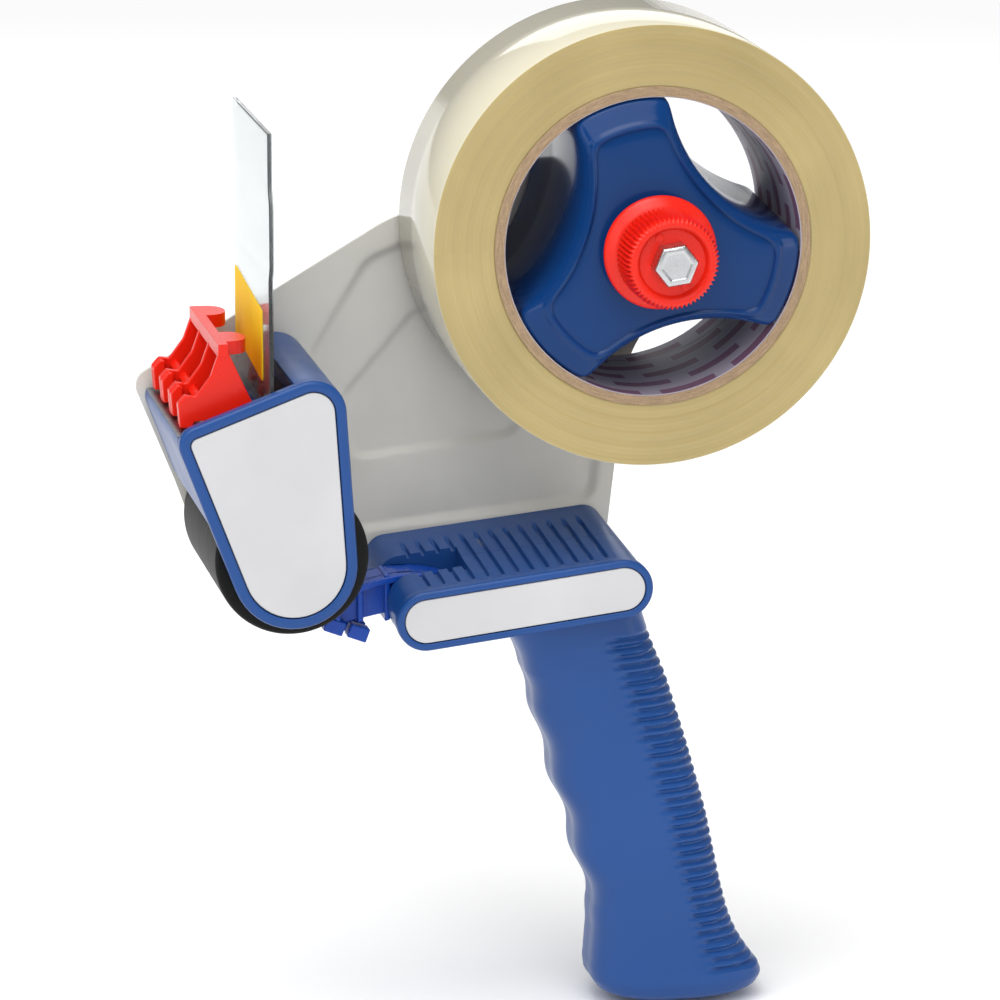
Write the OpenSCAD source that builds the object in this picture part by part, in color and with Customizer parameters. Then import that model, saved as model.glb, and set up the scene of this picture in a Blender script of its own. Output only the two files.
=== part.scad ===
// Hand-held packing-tape dispenser for 48 mm tape, pistol grip, steel side plate.
// Origin: centre of the grip.  +Z up, +Y towards the steel plate, the head points to -X.
// Every turning part has its axis along Y.

/* [Roll] */
// Height of the roll axis above the grip centre
roll_z = 151; // [148:1:160]
// Outer diameter of the tape winding
winding_d = 112.8; // [90:1:118]
// Inner diameter of the cardboard core
core_d = 76.2; // [76.2]
// Wall of the cardboard core, liner included
core_wall = 2.7; // [2:0.1:4]
// Width of the tape
tape_w = 48; // [45:1:48]

/* [Head] */
// Roller axis, measured back from the grip centre
roller_x = -93.8; // [-94:0.1:-93]
// Roller axis height above the grip centre
roller_z = 76.3; // [76:0.1:77]
// Diameter of the rubber roller
roller_d = 39; // [36:0.5:39]
// Height of the top edge of the clear wiper flap
flap_top_z = 184.5; // [160:0.5:190]
// Thickness of the clear wiper flap
flap_t = 1.5; // [1:0.1:1.6]
// Pitch of the blade's teeth
tooth_pitch = 1.6; // [1:0.1:2.5]

/* [Frame] */
// Inner face of the steel plate
plate_y = 22.5; // [22.5]
// Thickness of the steel plate
plate_t = 1.2; // [1:0.1:1.4]
// Depth of the field pressed into the plate
field_depth = 1.2; // [0.8:0.1:1.3]
// Outer face of the head's near cheek
cheek_y = -39; // [-39]
// Thickness of the near cheek
cheek_t = 3.5; // [3:0.1:4]

/* [Grip] */
// Half width of the grip
grip_half_w = 15.5; // [14:0.5:17]
// Depth of the finger grooves
groove_depth = 1.8; // [0:0.1:2.5]
// Spacing of the finger grooves
groove_pitch = 19.5; // [18:0.5:21]

/* [Hub and knob] */
// Radius of the three hub arms
hub_r = 37.9; // [37:0.1:38]
// Least radius of the hub between two arms
hub_waist_r = 21; // [19:0.5:24]
// Direction of the first hub arm
hub_turn = 103.5; // [0:0.5:120]
// Diameter of the knob's knurled ring
knob_d = 24; // [20:0.5:26]
// Diameter of the knob's flange
flange_d = 29; // [26:0.5:30]
// Number of grooves round the knob
knurl_count = 60; // [30:2:72]

/* [Hidden] */
fn = 96;             // true circle
soft = 32;           // circles inside a hull
fit = 0.05;          // radial clearance of a pin or shaft

plate_back = plate_y + plate_t;
cheek_in = cheek_y + cheek_t;
shell_back = plate_y - 0.2;         // far face of the plastic parts that meet the plate
roll_near = -27;                    // near face of the tape
roll_far = roll_near + tape_w;

// Pins of the head and the lever: [x, z]
guide_pivot = [-104.5, 111.5];
flap_pivot = [-98.5, 100.2];
lever_pivot = [-53, 58];
pin_r = 1.5;
axle_r = 3;
bolt_r = 3;

blue = "#2F5090";
hub_blue = "#12407C";
lever_blue = "#123CA6";
red = "#E32B1B";
white = "#DCDCDD";
steel = "#B9BBBD";
zinc = "#C9CBCC";

// ---- helpers -------------------------------------------------------------

function unit(v) = v / norm(v);

// Outline through the corners [x, z, r], each rounded with its own radius
function round_poly(c, steps = 10) = [
    for (i = [0 : len(c) - 1])
        let (n = len(c),
            b = [c[i][0], c[i][1]],
            u = unit([c[(i + n - 1) % n][0], c[(i + n - 1) % n][1]] - b),
            w = unit([c[(i + 1) % n][0], c[(i + 1) % n][1]] - b),
            half = acos(u * w) / 2,
            r = c[i][2],
            centre = b + unit(u + w) * r / sin(half),
            p0 = b + u * r / tan(half) - centre,
            p1 = b + w * r / tan(half) - centre,
            a0 = atan2(p0[1], p0[0]),
            turn = (atan2(p1[1], p1[0]) - a0 + 540) % 360 - 180)
        for (k = [0 : steps])
            centre + r * [cos(a0 + turn * k / steps), sin(a0 + turn * k / steps)]];

// The same corners moved inwards by d, for a convex outline listed clockwise
function inset(c, d) = [
    for (i = [0 : len(c) - 1])
        let (n = len(c),
            b = [c[i][0], c[i][1]],
            u = unit([c[(i + n - 1) % n][0], c[(i + n - 1) % n][1]] - b),
            w = unit([c[(i + 1) % n][0], c[(i + 1) % n][1]] - b),
            half = acos(u * w) / 2,
            p = b + unit(u + w) * d / sin(half))
        [p[0], p[1], max(c[i][2] - d, 0.5)]];

// A flat outline in X and Z made solid between two places on Y
module slab(y0, y1) {
    translate([0, y1, 0])
        rotate([90, 0, 0])
            linear_extrude(height = y1 - y0)
                children();
}

// A round bar along Y
module rod(at, r, y0, y1, sides = fn) {
    translate([at[0], y1, at[1]])
        rotate([90, 0, 0])
            cylinder(r = r, h = y1 - y0, $fn = sides);
}

// A washer along Y
module washer(at, r, hole, y0, y1) {
    difference() {
        rod(at, r, y0, y1);
        rod(at, hole, y0 - 1, y1 + 1);
    }
}

// A wire of radius r swept along points, with flat ends
module wire(path, r, sides = 8) {
    n = len(path);
    function tangent(i) = unit(path[min(i + 1, n - 1)] - path[max(i - 1, 0)]);
    function side(i) = unit(cross(tangent(i), [0.01, 1, 0.02]));
    points = [for (i = [0 : n - 1], k = [0 : sides - 1])
        let (s = side(i), t = cross(tangent(i), s), a = 360 * k / sides)
            path[i] + r * (cos(a) * s + sin(a) * t)];
    faces = concat(
        [[for (k = [0 : sides - 1]) sides - 1 - k]],
        [for (i = [0 : n - 2], k = [0 : sides - 1])
            [i * sides + k, i * sides + (k + 1) % sides,
             (i + 1) * sides + (k + 1) % sides, (i + 1) * sides + k]],
        [[for (k = [0 : sides - 1]) (n - 1) * sides + k]]);
    polyhedron(points, faces);
}

// Points of a coil round an axis along Y
function coil(at, r, y0, y1, turns, per_turn = 16) = [
    for (i = [0 : turns * per_turn])
        let (a = 360 * i / per_turn, t = i / (turns * per_turn))
            [at[0] + r * cos(a), y0 + (y1 - y0) * t, at[1] + r * sin(a)]];

// Pan-head screws along Y, driven from +Y, at each [x, z]
module screws(places, head_y, depth, head_r = 3, head_h = 1.8, shank_r = 1.5) {
    for (p = places) {
        difference() {
            union() {
                rod(p, head_r, head_y, head_y + head_h);
                rod(p, shank_r, head_y - depth, head_y + 0.1);
            }
            slab(head_y + head_h - 0.9, head_y + head_h + 1)
                translate(p) {
                    square([0.7, 3.6], center = true);
                    square([3.6, 0.7], center = true);
                }
        }
    }
}

// ---- steel plate ---------------------------------------------------------

plate_corners = [[-126, 111.7, 4.5], [-60, 150.3, 30], [-15.5, roll_z + 17.5, 16],
    [18.5, roll_z + 17.5, 16], [18.5, roll_z - 17, 12], [4.5, 112, 25],
    [-2.2, 54, 5], [-106, 58.5, 8], [-115, 84.3, 3]];
field_corners = [[-79, 116.8, 6], [-64.5, 140.6, 8], [-52, 145.4, 8], [-26, 147, 8],
    [-17, 126, 10], [-1.5, 112, 20], [-4.7, 74.6, 5], [-73, 68.6, 5]];
head_screw_at = [[-89, 116.8], [-84.2, 99.6], [-117.4, 98.5]];
handle_screw_at = [[-38, 66.6], [-9, 68], [-9, 57.5], [-38, 59.2]];

module side_plate() {
    color(steel)
        difference() {
            union() {
                difference() {
                    slab(plate_y, plate_back)
                        polygon(round_poly(plate_corners));
                    slab(plate_y - 1, plate_back + 1)
                        polygon(round_poly(field_corners));
                }
                slab(plate_back - 0.1, plate_back + field_depth)
                    polygon(round_poly(inset(field_corners, -plate_t)));
            }
            slab(plate_y - 1, plate_y + field_depth)
                polygon(round_poly(field_corners));
            rod([0, roll_z], bolt_r + fit, plate_y - 2, plate_back + 4);
            rod([roller_x, roller_z], axle_r + fit, plate_y - 2, plate_back + 4);
            for (p = [guide_pivot, flap_pivot])
                rod(p, pin_r + fit, plate_y - 2, plate_back + 4);
            for (p = concat(head_screw_at, handle_screw_at))
                rod(p, 1.7, plate_y - 2, plate_back + 4);
        }
}

// ---- handle --------------------------------------------------------------

// Stations of the grip: [z, front x, rear x, half width]
grip = [[-53, -7, 31, 15], [-50.5, -10.2, 34.6, 16.4], [-46, -11, 34.2, 16.6],
    [-40, -10.6, 29.6, 16], [-33, -10, 26.4, grip_half_w], [-24, -12, 24.2, grip_half_w],
    [-3, -18, 19.9, grip_half_w], [16, -24, 14.4, 15.2], [34, -28, 8.6, 15],
    [42, -29.8, 5.4, 15.2], [48, -34, 3.4, 15.6], [52, -38, 2.4, 16]];

function mix(a, b, t) = a + (b - a) * t;
function station(z, i = 0) = (i >= len(grip) - 2 || z <= grip[i + 1][0])
    ? mix(grip[i], grip[i + 1], (z - grip[i][0]) / (grip[i + 1][0] - grip[i][0]))
    : station(z, i + 1);

// Finger grooves fade out at both ends of the grip
function groove(z) = (z < -34 || z > 36) ? 0
    : groove_depth * min(1, (36 - z) / 8, (z + 34) / 6)
        * (0.5 + 0.5 * cos(360 * (z - 15.5) / groove_pitch));

function grip_ring(z, sides = 40, wall = 0) =
    let (s = station(z),
        front = s[1] + groove(z) + wall,
        rear = s[2] - wall,
        half = s[3] - wall,
        mid = (front + rear) / 2,
        deep = (rear - front) / 2)
    [for (k = [0 : sides - 1])
        let (a = 360 * (k + 0.5) / sides, c = cos(a), q = sin(a))
            [mid + deep * sign(c) * pow(abs(c), 0.72), half * sign(q) * pow(abs(q), 0.62), z]];

module grip_body(z0, z1, step, wall = 0, sides = 40) {
    zs = [for (i = [0 : round((z1 - z0) / step)]) z0 + (z1 - z0) * i / round((z1 - z0) / step)];
    n = len(zs);
    points = [for (z = zs) each grip_ring(z, sides, wall)];
    faces = concat(
        [[for (k = [0 : sides - 1]) k]],
        [for (i = [0 : n - 2], k = [0 : sides - 1])
            [i * sides + k, (i + 1) * sides + k,
             (i + 1) * sides + (k + 1) % sides, i * sides + (k + 1) % sides]],
        [[for (k = [0 : sides - 1]) (n - 1) * sides + sides - 1 - k]]);
    polyhedron(points, faces);
}

rim_a = [-57.2, 55.1];          // centres of the near rim's round ends
rim_b = [-6, 61];
rim_r = 7.8;
rim_y = -22;                    // near face of the rim
rim_back = -19;
rim_slope = atan2(rim_b[1] - rim_a[1], rim_b[0] - rim_a[0]);
rim_len = norm(rim_b - rim_a);

// Slot shape with round ends between the two rim centres
module stadium(r) {
    translate(rim_a)
        rotate(rim_slope) {
            polygon(round_poly([[-r, -r, r - 0.01], [-r, r, r - 0.01],
                [rim_len + r, r, r - 0.01], [rim_len + r, -r, r - 0.01]], 14));
        }
}

// Sloping box that carries the grip, from the near rim to the plate
module housing(wall = 0) {
    near_r = 7.3 - wall;
    far_r = 5.4 - wall;
    hull() {
        slab(rim_back + wall - 0.2, rim_back + wall + 0.3) {
            translate(rim_a) circle(r = near_r, $fn = soft);
            translate(rim_b) circle(r = near_r, $fn = soft);
        }
        slab(shell_back - 0.5 - wall, shell_back - wall) {
            translate([-60, 62.2]) circle(r = far_r, $fn = soft);
            translate([-7.6, 67.6]) circle(r = far_r, $fn = soft);
            translate([-57.2, 55.1]) circle(r = near_r, $fn = soft);
            translate([-6.5, 60.5]) circle(r = near_r, $fn = soft);
        }
    }
}

lever_w = 12;
slot_half = lever_w / 2 + 0.6;
shell_screw_at = [[10, -38], [-1, -5], [-13, 27]];
boss_r = 3.6;

// Space cut away round the lever
module lever_slot() {
    slab(-slot_half, slot_half)
        polygon([[-72, 40], [-72, 76], [-44.2, 76], [-44.2, 60], [-50, 50], [-58, 40]]);
}

module handle_half(y0, y1) {
    difference() {
        union() {
            intersection() {
                union() {
                    grip_body(-53, 51, 2.6);
                    housing();
                }
                translate([-80, y0, -60])
                    cube([120, y1 - y0, 140]);
            }
        }
        intersection() {
            union() {
                difference() {
                    grip_body(-46, 46, 4.6, 3);
                    translate([-80, -2, 43.5])
                        cube([120, 4, 1]);
                }
                housing(2.6);
            }
            translate([-80, y0 - 1, -60])
                cube([120, y1 - y0 + 2, 140]);
        }
        lever_slot();
    }
}

module handle_near_shell() {
    color(blue)
        difference() {
            union() {
                handle_half(-30, 0);
                difference() {
                    slab(rim_y, rim_back)
                        stadium(rim_r);
                    slab(rim_y - 1, rim_y + 1.4)
                        stadium(rim_r - 1.9);
                }
                for (p = shell_screw_at)
                    rod(p, boss_r, -13.4, 0);
                rod(lever_pivot, boss_r, -17.5, -slot_half);
                for (p = handle_screw_at)
                    rod(p, boss_r, -17.5, 0);
            }
            rod(lever_pivot, pin_r + fit, -15.5, 1);
            for (p = shell_screw_at)
                rod(p, 1.25, -11, 1);
        }
}

module handle_far_shell() {
    color(blue)
        difference() {
            union() {
                handle_half(0, 30);
                for (p = shell_screw_at)
                    rod(p, boss_r, 0, 13.4);
                rod(lever_pivot, boss_r, slot_half, 20.5);
                for (p = handle_screw_at)
                    rod(p, boss_r, 0, shell_back);
            }
            rod(lever_pivot, pin_r + fit, -1, 15.5);
            for (p = shell_screw_at) {
                rod(p, 1.7, -1, 20);
                rod(p, 3.2, 9.2, 20);
            }
            for (p = handle_screw_at)
                rod(p, 1.25, 5, shell_back + 1);
        }
}

module handle_panel() {
    color(white)
        slab(rim_y + 0.2, rim_y + 1.4)
            stadium(rim_r - 2);
}

// ---- head ----------------------------------------------------------------

cheek_corners = [[-124.1, 110.4, 5], [-81.3, 126.2, 8.5], [-70.9, -30.6, 15.9]];
wall_t = 2.4;
ledge_z = 109.2;                // top of the blade's seat
blade_t = 0.6;
blade_screw_y = [-19.5, 6.5];
blade_screw_x = -113;

module cheek_ring(t) {
    difference() {
        polygon(round_poly(cheek_corners, 16));
        polygon(round_poly(inset(cheek_corners, t), 16));
    }
}

module head_housing() {
    color(blue)
        difference() {
            union() {
                difference() {
                    slab(cheek_y, cheek_in)
                        polygon(round_poly(cheek_corners, 16));
                    slab(cheek_y - 1, cheek_y + 1.4)
                        polygon(round_poly(inset(cheek_corners, 2.9), 16));
                }
                slab(cheek_in - 0.1, shell_back) {
                    // top and rear wall
                    intersection() {
                        cheek_ring(wall_t);
                        translate([-93.6, 96.5])
                            square([30, 40]);
                    }
                    // front wall below the blade
                    intersection() {
                        cheek_ring(wall_t);
                        translate([-130, 86.5])
                            square([20, ledge_z - 86.5]);
                    }
                    // seat of the blade
                    translate([-121.2, ledge_z - 3])
                        square([13.2, 3]);
                }
                for (p = head_screw_at)
                    rod(p, 3.2, cheek_in - 0.1, shell_back);
                rod([roller_x, roller_z], 6, cheek_y + 1.6, cheek_in);
            }
            rod([roller_x, roller_z], axle_r + fit, cheek_y + 2, cheek_in + 1);
            for (p = [guide_pivot, flap_pivot])
                rod(p, pin_r + fit, cheek_y + 2, cheek_in + 1);
            for (p = head_screw_at)
                rod(p, 1.25, 6, shell_back + 1);
            for (y = blade_screw_y)
                translate([blade_screw_x, y, ledge_z - 4])
                    cylinder(r = 1.25, h = 5, $fn = fn);
        }
}

module head_panel() {
    color(white)
        slab(cheek_y + 0.2, cheek_y + 1.4)
            polygon(round_poly(inset(cheek_corners, 3), 16));
}

module blade() {
    tip_x = -122.6;
    root_x = -120.8;
    y0 = cheek_in + 0.3;
    count = floor((shell_back - y0 - 0.2) / tooth_pitch);
    y1 = y0 + count * tooth_pitch;
    teeth = [for (i = [0 : count - 1]) each
        [[root_x, y0 + i * tooth_pitch], [tip_x, y0 + (i + 0.5) * tooth_pitch]]];
    color(zinc)
        difference() {
            translate([0, 0, ledge_z])
                linear_extrude(height = blade_t)
                    polygon(concat(teeth, [[root_x, y1], [-108.6, y1], [-108.6, y0]]));
            for (y = blade_screw_y)
                translate([blade_screw_x, y, ledge_z - 1])
                    cylinder(r = 1.6, h = 3, $fn = fn);
        }
}

module blade_screws() {
    top = ledge_z + blade_t;
    color(zinc)
        for (y = blade_screw_y)
            difference() {
                union() {
                    translate([blade_screw_x, y, top])
                        cylinder(r = 2.6, h = 1.3, $fn = fn);
                    translate([blade_screw_x, y, top - 3.2])
                        cylinder(r = 1.2, h = 3.3, $fn = fn);
                }
                translate([blade_screw_x - 1.5, y - 0.3, top + 0.7])
                    cube([3, 0.6, 1]);
                translate([blade_screw_x - 0.3, y - 1.5, top + 0.7])
                    cube([0.6, 3, 1]);
            }
}

// ---- roller --------------------------------------------------------------

roller_y0 = cheek_in + 1.5;
roller_y1 = plate_y - 1.5;
roller_at = [roller_x, roller_z];
spool_r = 11;

module roller_tyre() {
    color("#2A2A2C")
        washer(roller_at, roller_d / 2, spool_r, roller_y0, roller_y1);
}

module roller_core() {
    color("#D8D8D6")
        difference() {
            rod(roller_at, spool_r, roller_y0, roller_y1);
            for (y = [roller_y0 - 1, roller_y1 - 7])
                difference() {
                    rod(roller_at, spool_r - 2, y, y + 8);
                    rod(roller_at, axle_r + 2, y - 1, y + 9);
                }
            rod(roller_at, axle_r + fit, roller_y0 - 1, roller_y1 + 1);
        }
}

clip_y = plate_back + 0.3;

module roller_axle() {
    color(zinc)
        difference() {
            rod(roller_at, axle_r, cheek_y + 2.2, clip_y + 2.4);
            washer(roller_at, axle_r + 1, axle_r - 0.6, clip_y, clip_y + 0.8);
        }
}

module roller_washers() {
    color("#E9E6DC")
        for (y = [cheek_in + 0.1, roller_y1 + 0.4])
            washer(roller_at, 6, axle_r + fit, y, y + 1);
}

module axle_clip() {
    color("#3A3B3D")
        difference() {
            washer(roller_at, 5.4, axle_r - 0.6 + fit, clip_y + 0.05, clip_y + 0.75);
            slab(clip_y - 1, clip_y + 2)
                translate(roller_at + [0, -4])
                    square([3.2, 8], center = true);
        }
}

// ---- clear wiper flap ----------------------------------------------------

flap_y0 = cheek_in + 1.2;
flap_y1 = plate_y - 1.2;
flap_x = flap_pivot[0] - flap_t / 2;
flap_low_z = 104;
rivet_at = [for (y = [-28, -6.5, 15]) [y, 107.2]];
holder_t = 1.9;

// An outline in Y and Z made solid between two places on X
module sheet(x0, x1) {
    translate([x0, 0, 0])
        rotate([90, 0, 90])
            linear_extrude(height = x1 - x0)
                children();
}

module wiper_flap() {
    color("#DDE6E8", 0.45)
        difference() {
            sheet(flap_x, flap_x + flap_t)
                polygon(round_poly([[flap_y0, flap_low_z, 0.6], [flap_y0, flap_top_z, 1.6],
                    [flap_y1, flap_top_z, 1.6], [flap_y1, flap_low_z, 0.6]]));
            for (p = rivet_at)
                translate([flap_x - 1, p[0], p[1]])
                    rotate([0, 90, 0])
                        cylinder(r = 1.25, h = flap_t + 2, $fn = fn);
        }
}

// Blank sticker on the flap's front face
module flap_label() {
    color("#F2C21A")
        sheet(flap_x - 0.2, flap_x)
            polygon(round_poly([[-24, 120, 0.8], [-24, 138, 0.8],
                [19, 141.6, 0.8], [19, 123.6, 0.8]]));
}

module flap_holder() {
    color(blue)
        difference() {
            union() {
                rod(flap_pivot, 2.9, flap_y0, flap_y1);
                translate([flap_x - holder_t, flap_y0, flap_pivot[1]])
                    cube([2 * holder_t + flap_t, flap_y1 - flap_y0, 9.4]);
            }
            translate([flap_x - 0.02, flap_y0 - 1, flap_low_z - 0.05])
                cube([flap_t + 0.04, flap_y1 - flap_y0 + 2, 12]);
            rod(flap_pivot, pin_r + fit, flap_y0 - 1, flap_y1 + 1);
            // room for the spring
            translate([-110, -12, 90])
                cube([20, 6, 13.2]);
            for (p = rivet_at)
                translate([flap_x - 4, p[0], p[1]])
                    rotate([0, 90, 0])
                        cylinder(r = 1.25, h = 12, $fn = fn);
        }
}

module flap_rivets() {
    left = flap_x - holder_t;
    right = flap_x + flap_t + holder_t;
    color(zinc)
        for (p = rivet_at)
            translate([0, p[0], p[1]])
                rotate([0, 90, 0]) {
                    translate([0, 0, left - 0.7])
                        cylinder(r = 2.1, h = 0.7, $fn = fn);
                    translate([0, 0, left - 0.1])
                        cylinder(r = 1.2, h = right - left + 0.2, $fn = fn);
                    translate([0, 0, right])
                        cylinder(r = 2.1, h = 0.7, $fn = fn);
                }
}

module head_pin(at) {
    color(zinc)
        rod(at, pin_r, cheek_y + 2.2, plate_back + 0.6);
}

module flap_pin() {
    head_pin(flap_pivot);
}

module flap_spring() {
    color("#C9A64A")
        wire(coil(flap_pivot, 2.2, -11.2, -6.8, 4), 0.4);
}

// ---- red tape guide ------------------------------------------------------

guide_y = [-30.2, -15, 0.6, 16.2];      // near face of each rib
rib_t = 2;
guide_y1 = guide_y[3] + rib_t;
rib_outline = [[-121.2, 110.4], [-121.6, 116.4], [-119.6, 118.6], [-117, 118.2],
    [-113.4, 123], [-111.2, 129], [-108.8, 129], [-105.4, 121.5], [-102.2, 114.6],
    [-101.7, 111.5], [-102.4, 109.4], [-104.5, 108.7], [-108, 111.4], [-112, 112.2],
    [-117.6, 111.8], [-118.2, 110.3]];

// Bar of the guide along Y, cut to an outline in X and Z
module guide_bar(points) {
    slab(guide_y[0] + 0.05, guide_y1 - 0.05)
        polygon(points);
}

module tape_guide() {
    color(red)
        difference() {
            union() {
                for (y = guide_y)
                    slab(y, y + rib_t)
                        polygon(rib_outline);
                // feet that press the tape on the blade
                for (y = guide_y)
                    slab(max(y - 2.2, guide_y[0] - 0.1), min(y + rib_t + 2.2, guide_y1 + 0.1))
                        polygon([[-121.1, 110.5], [-121.5, 116.2], [-119.6, 118.3],
                            [-118.5, 117.9], [-118.7, 110.5]]);
                // back plate, top bar and cross bar
                guide_bar([[-109.1, 128.8], [-105.7, 121.4], [-102.6, 114.7],
                    [-104.1, 114], [-107.3, 120.9], [-110.4, 127.6]]);
                guide_bar([[-111.5, 127.6], [-111.5, 131.2], [-109, 131.2], [-109, 127.6]]);
                guide_bar([[-116.9, 116.4], [-115.5, 118], [-113.9, 116.8], [-115.3, 115.1]]);
                // thumb tabs
                for (y = [guide_y[0], guide_y1 - 14])
                    translate([0, 0, 128.2])
                        linear_extrude(height = 2.9)
                            polygon(round_poly([[-110.4, y + 0.1, 0.4], [-110.4, y + 13.9, 0.4],
                                [-103, y + 13.9, 6.2], [-103, y + 0.1, 6.2]]));
            }
            rod(guide_pivot, pin_r + fit, guide_y[0] - 1, guide_y1 + 1);
        }
}

module guide_pin() {
    head_pin(guide_pivot);
}

module guide_spring() {
    color("#C9A64A")
        wire(coil(guide_pivot, 2.3, cheek_in + 0.7, guide_y[0] - 0.8, 4), 0.45);
}

// ---- brake lever ---------------------------------------------------------

lever_outline = [[-46.8, 61], [-50, 62.4], [-54, 63.2], [-58, 63.6], [-62, 63.6], [-68, 62.6],
    [-73, 61], [-77, 58.9], [-79.4, 57], [-81.6, 52.4], [-81.4, 49.9], [-76.5, 48],
    [-75.6, 50.6], [-74.6, 50.4], [-75.2, 47.9], [-70.3, 46], [-69, 49.5],
    [-68, 52.6], [-60, 54], [-50.4, 53.4], [-47.4, 57]];

module brake_lever() {
    color(lever_blue)
        difference() {
            slab(-lever_w / 2, lever_w / 2)
                polygon(lever_outline);
            // pockets on both sides of a middle web
            for (y = [-lever_w / 2 - 1, 1.2])
                slab(y, y + lever_w / 2 - 0.2)
                    polygon([[-60, 60.6], [-71, 58.4], [-77, 55], [-78.6, 52.6],
                        [-68, 54.6], [-60, 56]]);
            rod(lever_pivot, pin_r + fit, -10, 10);
            // room for the spring
            rod(lever_pivot, 4.2, 1.9, 10);
        }
}

module lever_pin() {
    color(zinc)
        rod(lever_pivot, pin_r, -15, 15);
}

module lever_spring() {
    color(zinc)
        wire(coil(lever_pivot, 2.6, 2.8, 5.6, 3), 0.4);
}

// ---- hub, spindle and tension knob ---------------------------------------

hub_front = -31;
hub_back = 20.7;
hub_wall = 2.2;
spring_pocket_r = 8.2;
pocket_floor = -12;
spindle = [0, roll_z];

// Circle that cuts the hollow between two arms
tip_half = 19.5;
edge_x = hub_r * cos(60 - tip_half);
edge_y = hub_r * sin(60 - tip_half);
bite_at = (edge_x * edge_x + edge_y * edge_y - hub_waist_r * hub_waist_r)
    / (2 * (edge_x - hub_waist_r));
bite_r = bite_at - hub_waist_r;

module three_arms(in) {
    translate(spindle)
        rotate(hub_turn)
            difference() {
                circle(r = hub_r - in, $fn = fn);
                for (k = [0 : 2])
                    rotate(60 + 120 * k)
                        translate([bite_at, 0])
                            circle(r = bite_r + in, $fn = fn);
            }
}

module hub() {
    color(hub_blue)
        difference() {
            union() {
                slab(hub_front, hub_front + 2.6)
                    three_arms(3);
                difference() {
                    slab(hub_front + 2.5, hub_back)
                        three_arms(0);
                    slab(hub_front + 5, hub_back + 1)
                        three_arms(hub_wall);
                }
                rod(spindle, spring_pocket_r + 2, hub_front + 3, hub_back);
            }
            rod(spindle, spring_pocket_r, hub_front - 1, pocket_floor);
            rod(spindle, 5 + 0.01, pocket_floor - 1, hub_back + 1);
        }
}

module hub_bush() {
    color("#C8A24A")
        washer(spindle, 5, bolt_r + 0.08, pocket_floor, hub_back);
}

module friction_washer() {
    color("#7A4A30")
        washer(spindle, 12, bolt_r + 0.3, plate_y - 1.4, plate_y);
}

module thrust_washer() {
    color(zinc)
        washer(spindle, 7.4, bolt_r + 0.2, pocket_floor - 1.4, pocket_floor - 0.3);
}

module tension_spring() {
    color(zinc)
        wire(coil(spindle, 5.2, -28.3, pocket_floor - 2.3, 5, 20), 0.6);
}

knob_back = -33;
knob_ring = -36.3;
knob_front = -49.8;
dish_floor = -48;

module tension_knob() {
    groove_w = PI * knob_d / knurl_count;
    color(red)
        difference() {
            union() {
                rod(spindle, flange_d / 2, knob_ring, knob_back);
                slab(knob_front, knob_ring + 0.1)
                    translate(spindle)
                        difference() {
                            circle(r = knob_d / 2, $fn = fn);
                            for (k = [0 : knurl_count - 1])
                                rotate(360 * k / knurl_count)
                                    translate([knob_d / 2 + groove_w * 0.22, 0])
                                        circle(r = groove_w * 0.7, $fn = 4);
                        }
                rod(spindle, 7.2, knob_back - 0.1, -29.4);
            }
            rod(spindle, 8.7, knob_front - 1, dish_floor);
            rod(spindle, bolt_r + fit, knob_front - 1, 0);
        }
}

module spindle_bolt() {
    color(zinc)
        union() {
            rod(spindle, 10 / sqrt(3), dish_floor - 5.2, dish_floor, 6);
            rod(spindle, bolt_r, dish_floor - 0.1, plate_back + 7.6);
        }
}

module spindle_washer() {
    color(zinc)
        washer(spindle, 8, bolt_r + 0.2, plate_back, plate_back + 1.2);
}

module spindle_nut() {
    color(zinc)
        difference() {
            union() {
                rod(spindle, 10 / sqrt(3), plate_back + 1.2, plate_back + 5.4, 6);
                rod(spindle, 4.6, plate_back + 5.3, plate_back + 6.4);
            }
            rod(spindle, bolt_r + fit, plate_back, plate_back + 9);
        }
}

// ---- tape roll -----------------------------------------------------------

liner_t = 0.25;

module tape_winding() {
    color("#CDBB7F")
        washer(spindle, winding_d / 2, core_d / 2 + core_wall, roll_near, roll_far);
}

module tape_core() {
    color("#A98563")
        washer(spindle, core_d / 2 + core_wall, core_d / 2 + liner_t,
            roll_near - 0.3, roll_far + 0.3);
}

module core_liner() {
    color("#B9B4BE")
        washer(spindle, core_d / 2 + liner_t, core_d / 2, roll_near - 0.1, roll_far + 0.1);
}

// ---- screws --------------------------------------------------------------

module head_screws() {
    color(zinc)
        screws(head_screw_at, plate_back, 14, shank_r = 1.2);
}

module handle_screws() {
    color(zinc)
        screws(handle_screw_at, plate_back, 16, shank_r = 1.2);
}

module shell_screws() {
    color(zinc)
        screws(shell_screw_at, 9.2, 18, head_r = 2.9, shank_r = 1.2);
}

side_plate();
handle_near_shell();
handle_far_shell();
handle_panel();
head_housing();
head_panel();
blade();
blade_screws();
roller_tyre();
roller_core();
roller_axle();
roller_washers();
axle_clip();
wiper_flap();
flap_label();
flap_holder();
flap_rivets();
flap_pin();
flap_spring();
tape_guide();
guide_pin();
guide_spring();
brake_lever();
lever_pin();
lever_spring();
hub();
hub_bush();
friction_washer();
thrust_washer();
tension_spring();
tension_knob();
spindle_bolt();
spindle_washer();
spindle_nut();
tape_winding();
tape_core();
core_liner();
head_screws();
handle_screws();
shell_screws();
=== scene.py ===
"""Looks of a hand-held packing-tape dispenser, built round its fixed frame."""

import math

import bmesh
import bpy
from bpy.props import FloatProperty, FloatVectorProperty, IntProperty, PointerProperty
from mathutils import Matrix, Vector


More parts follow.
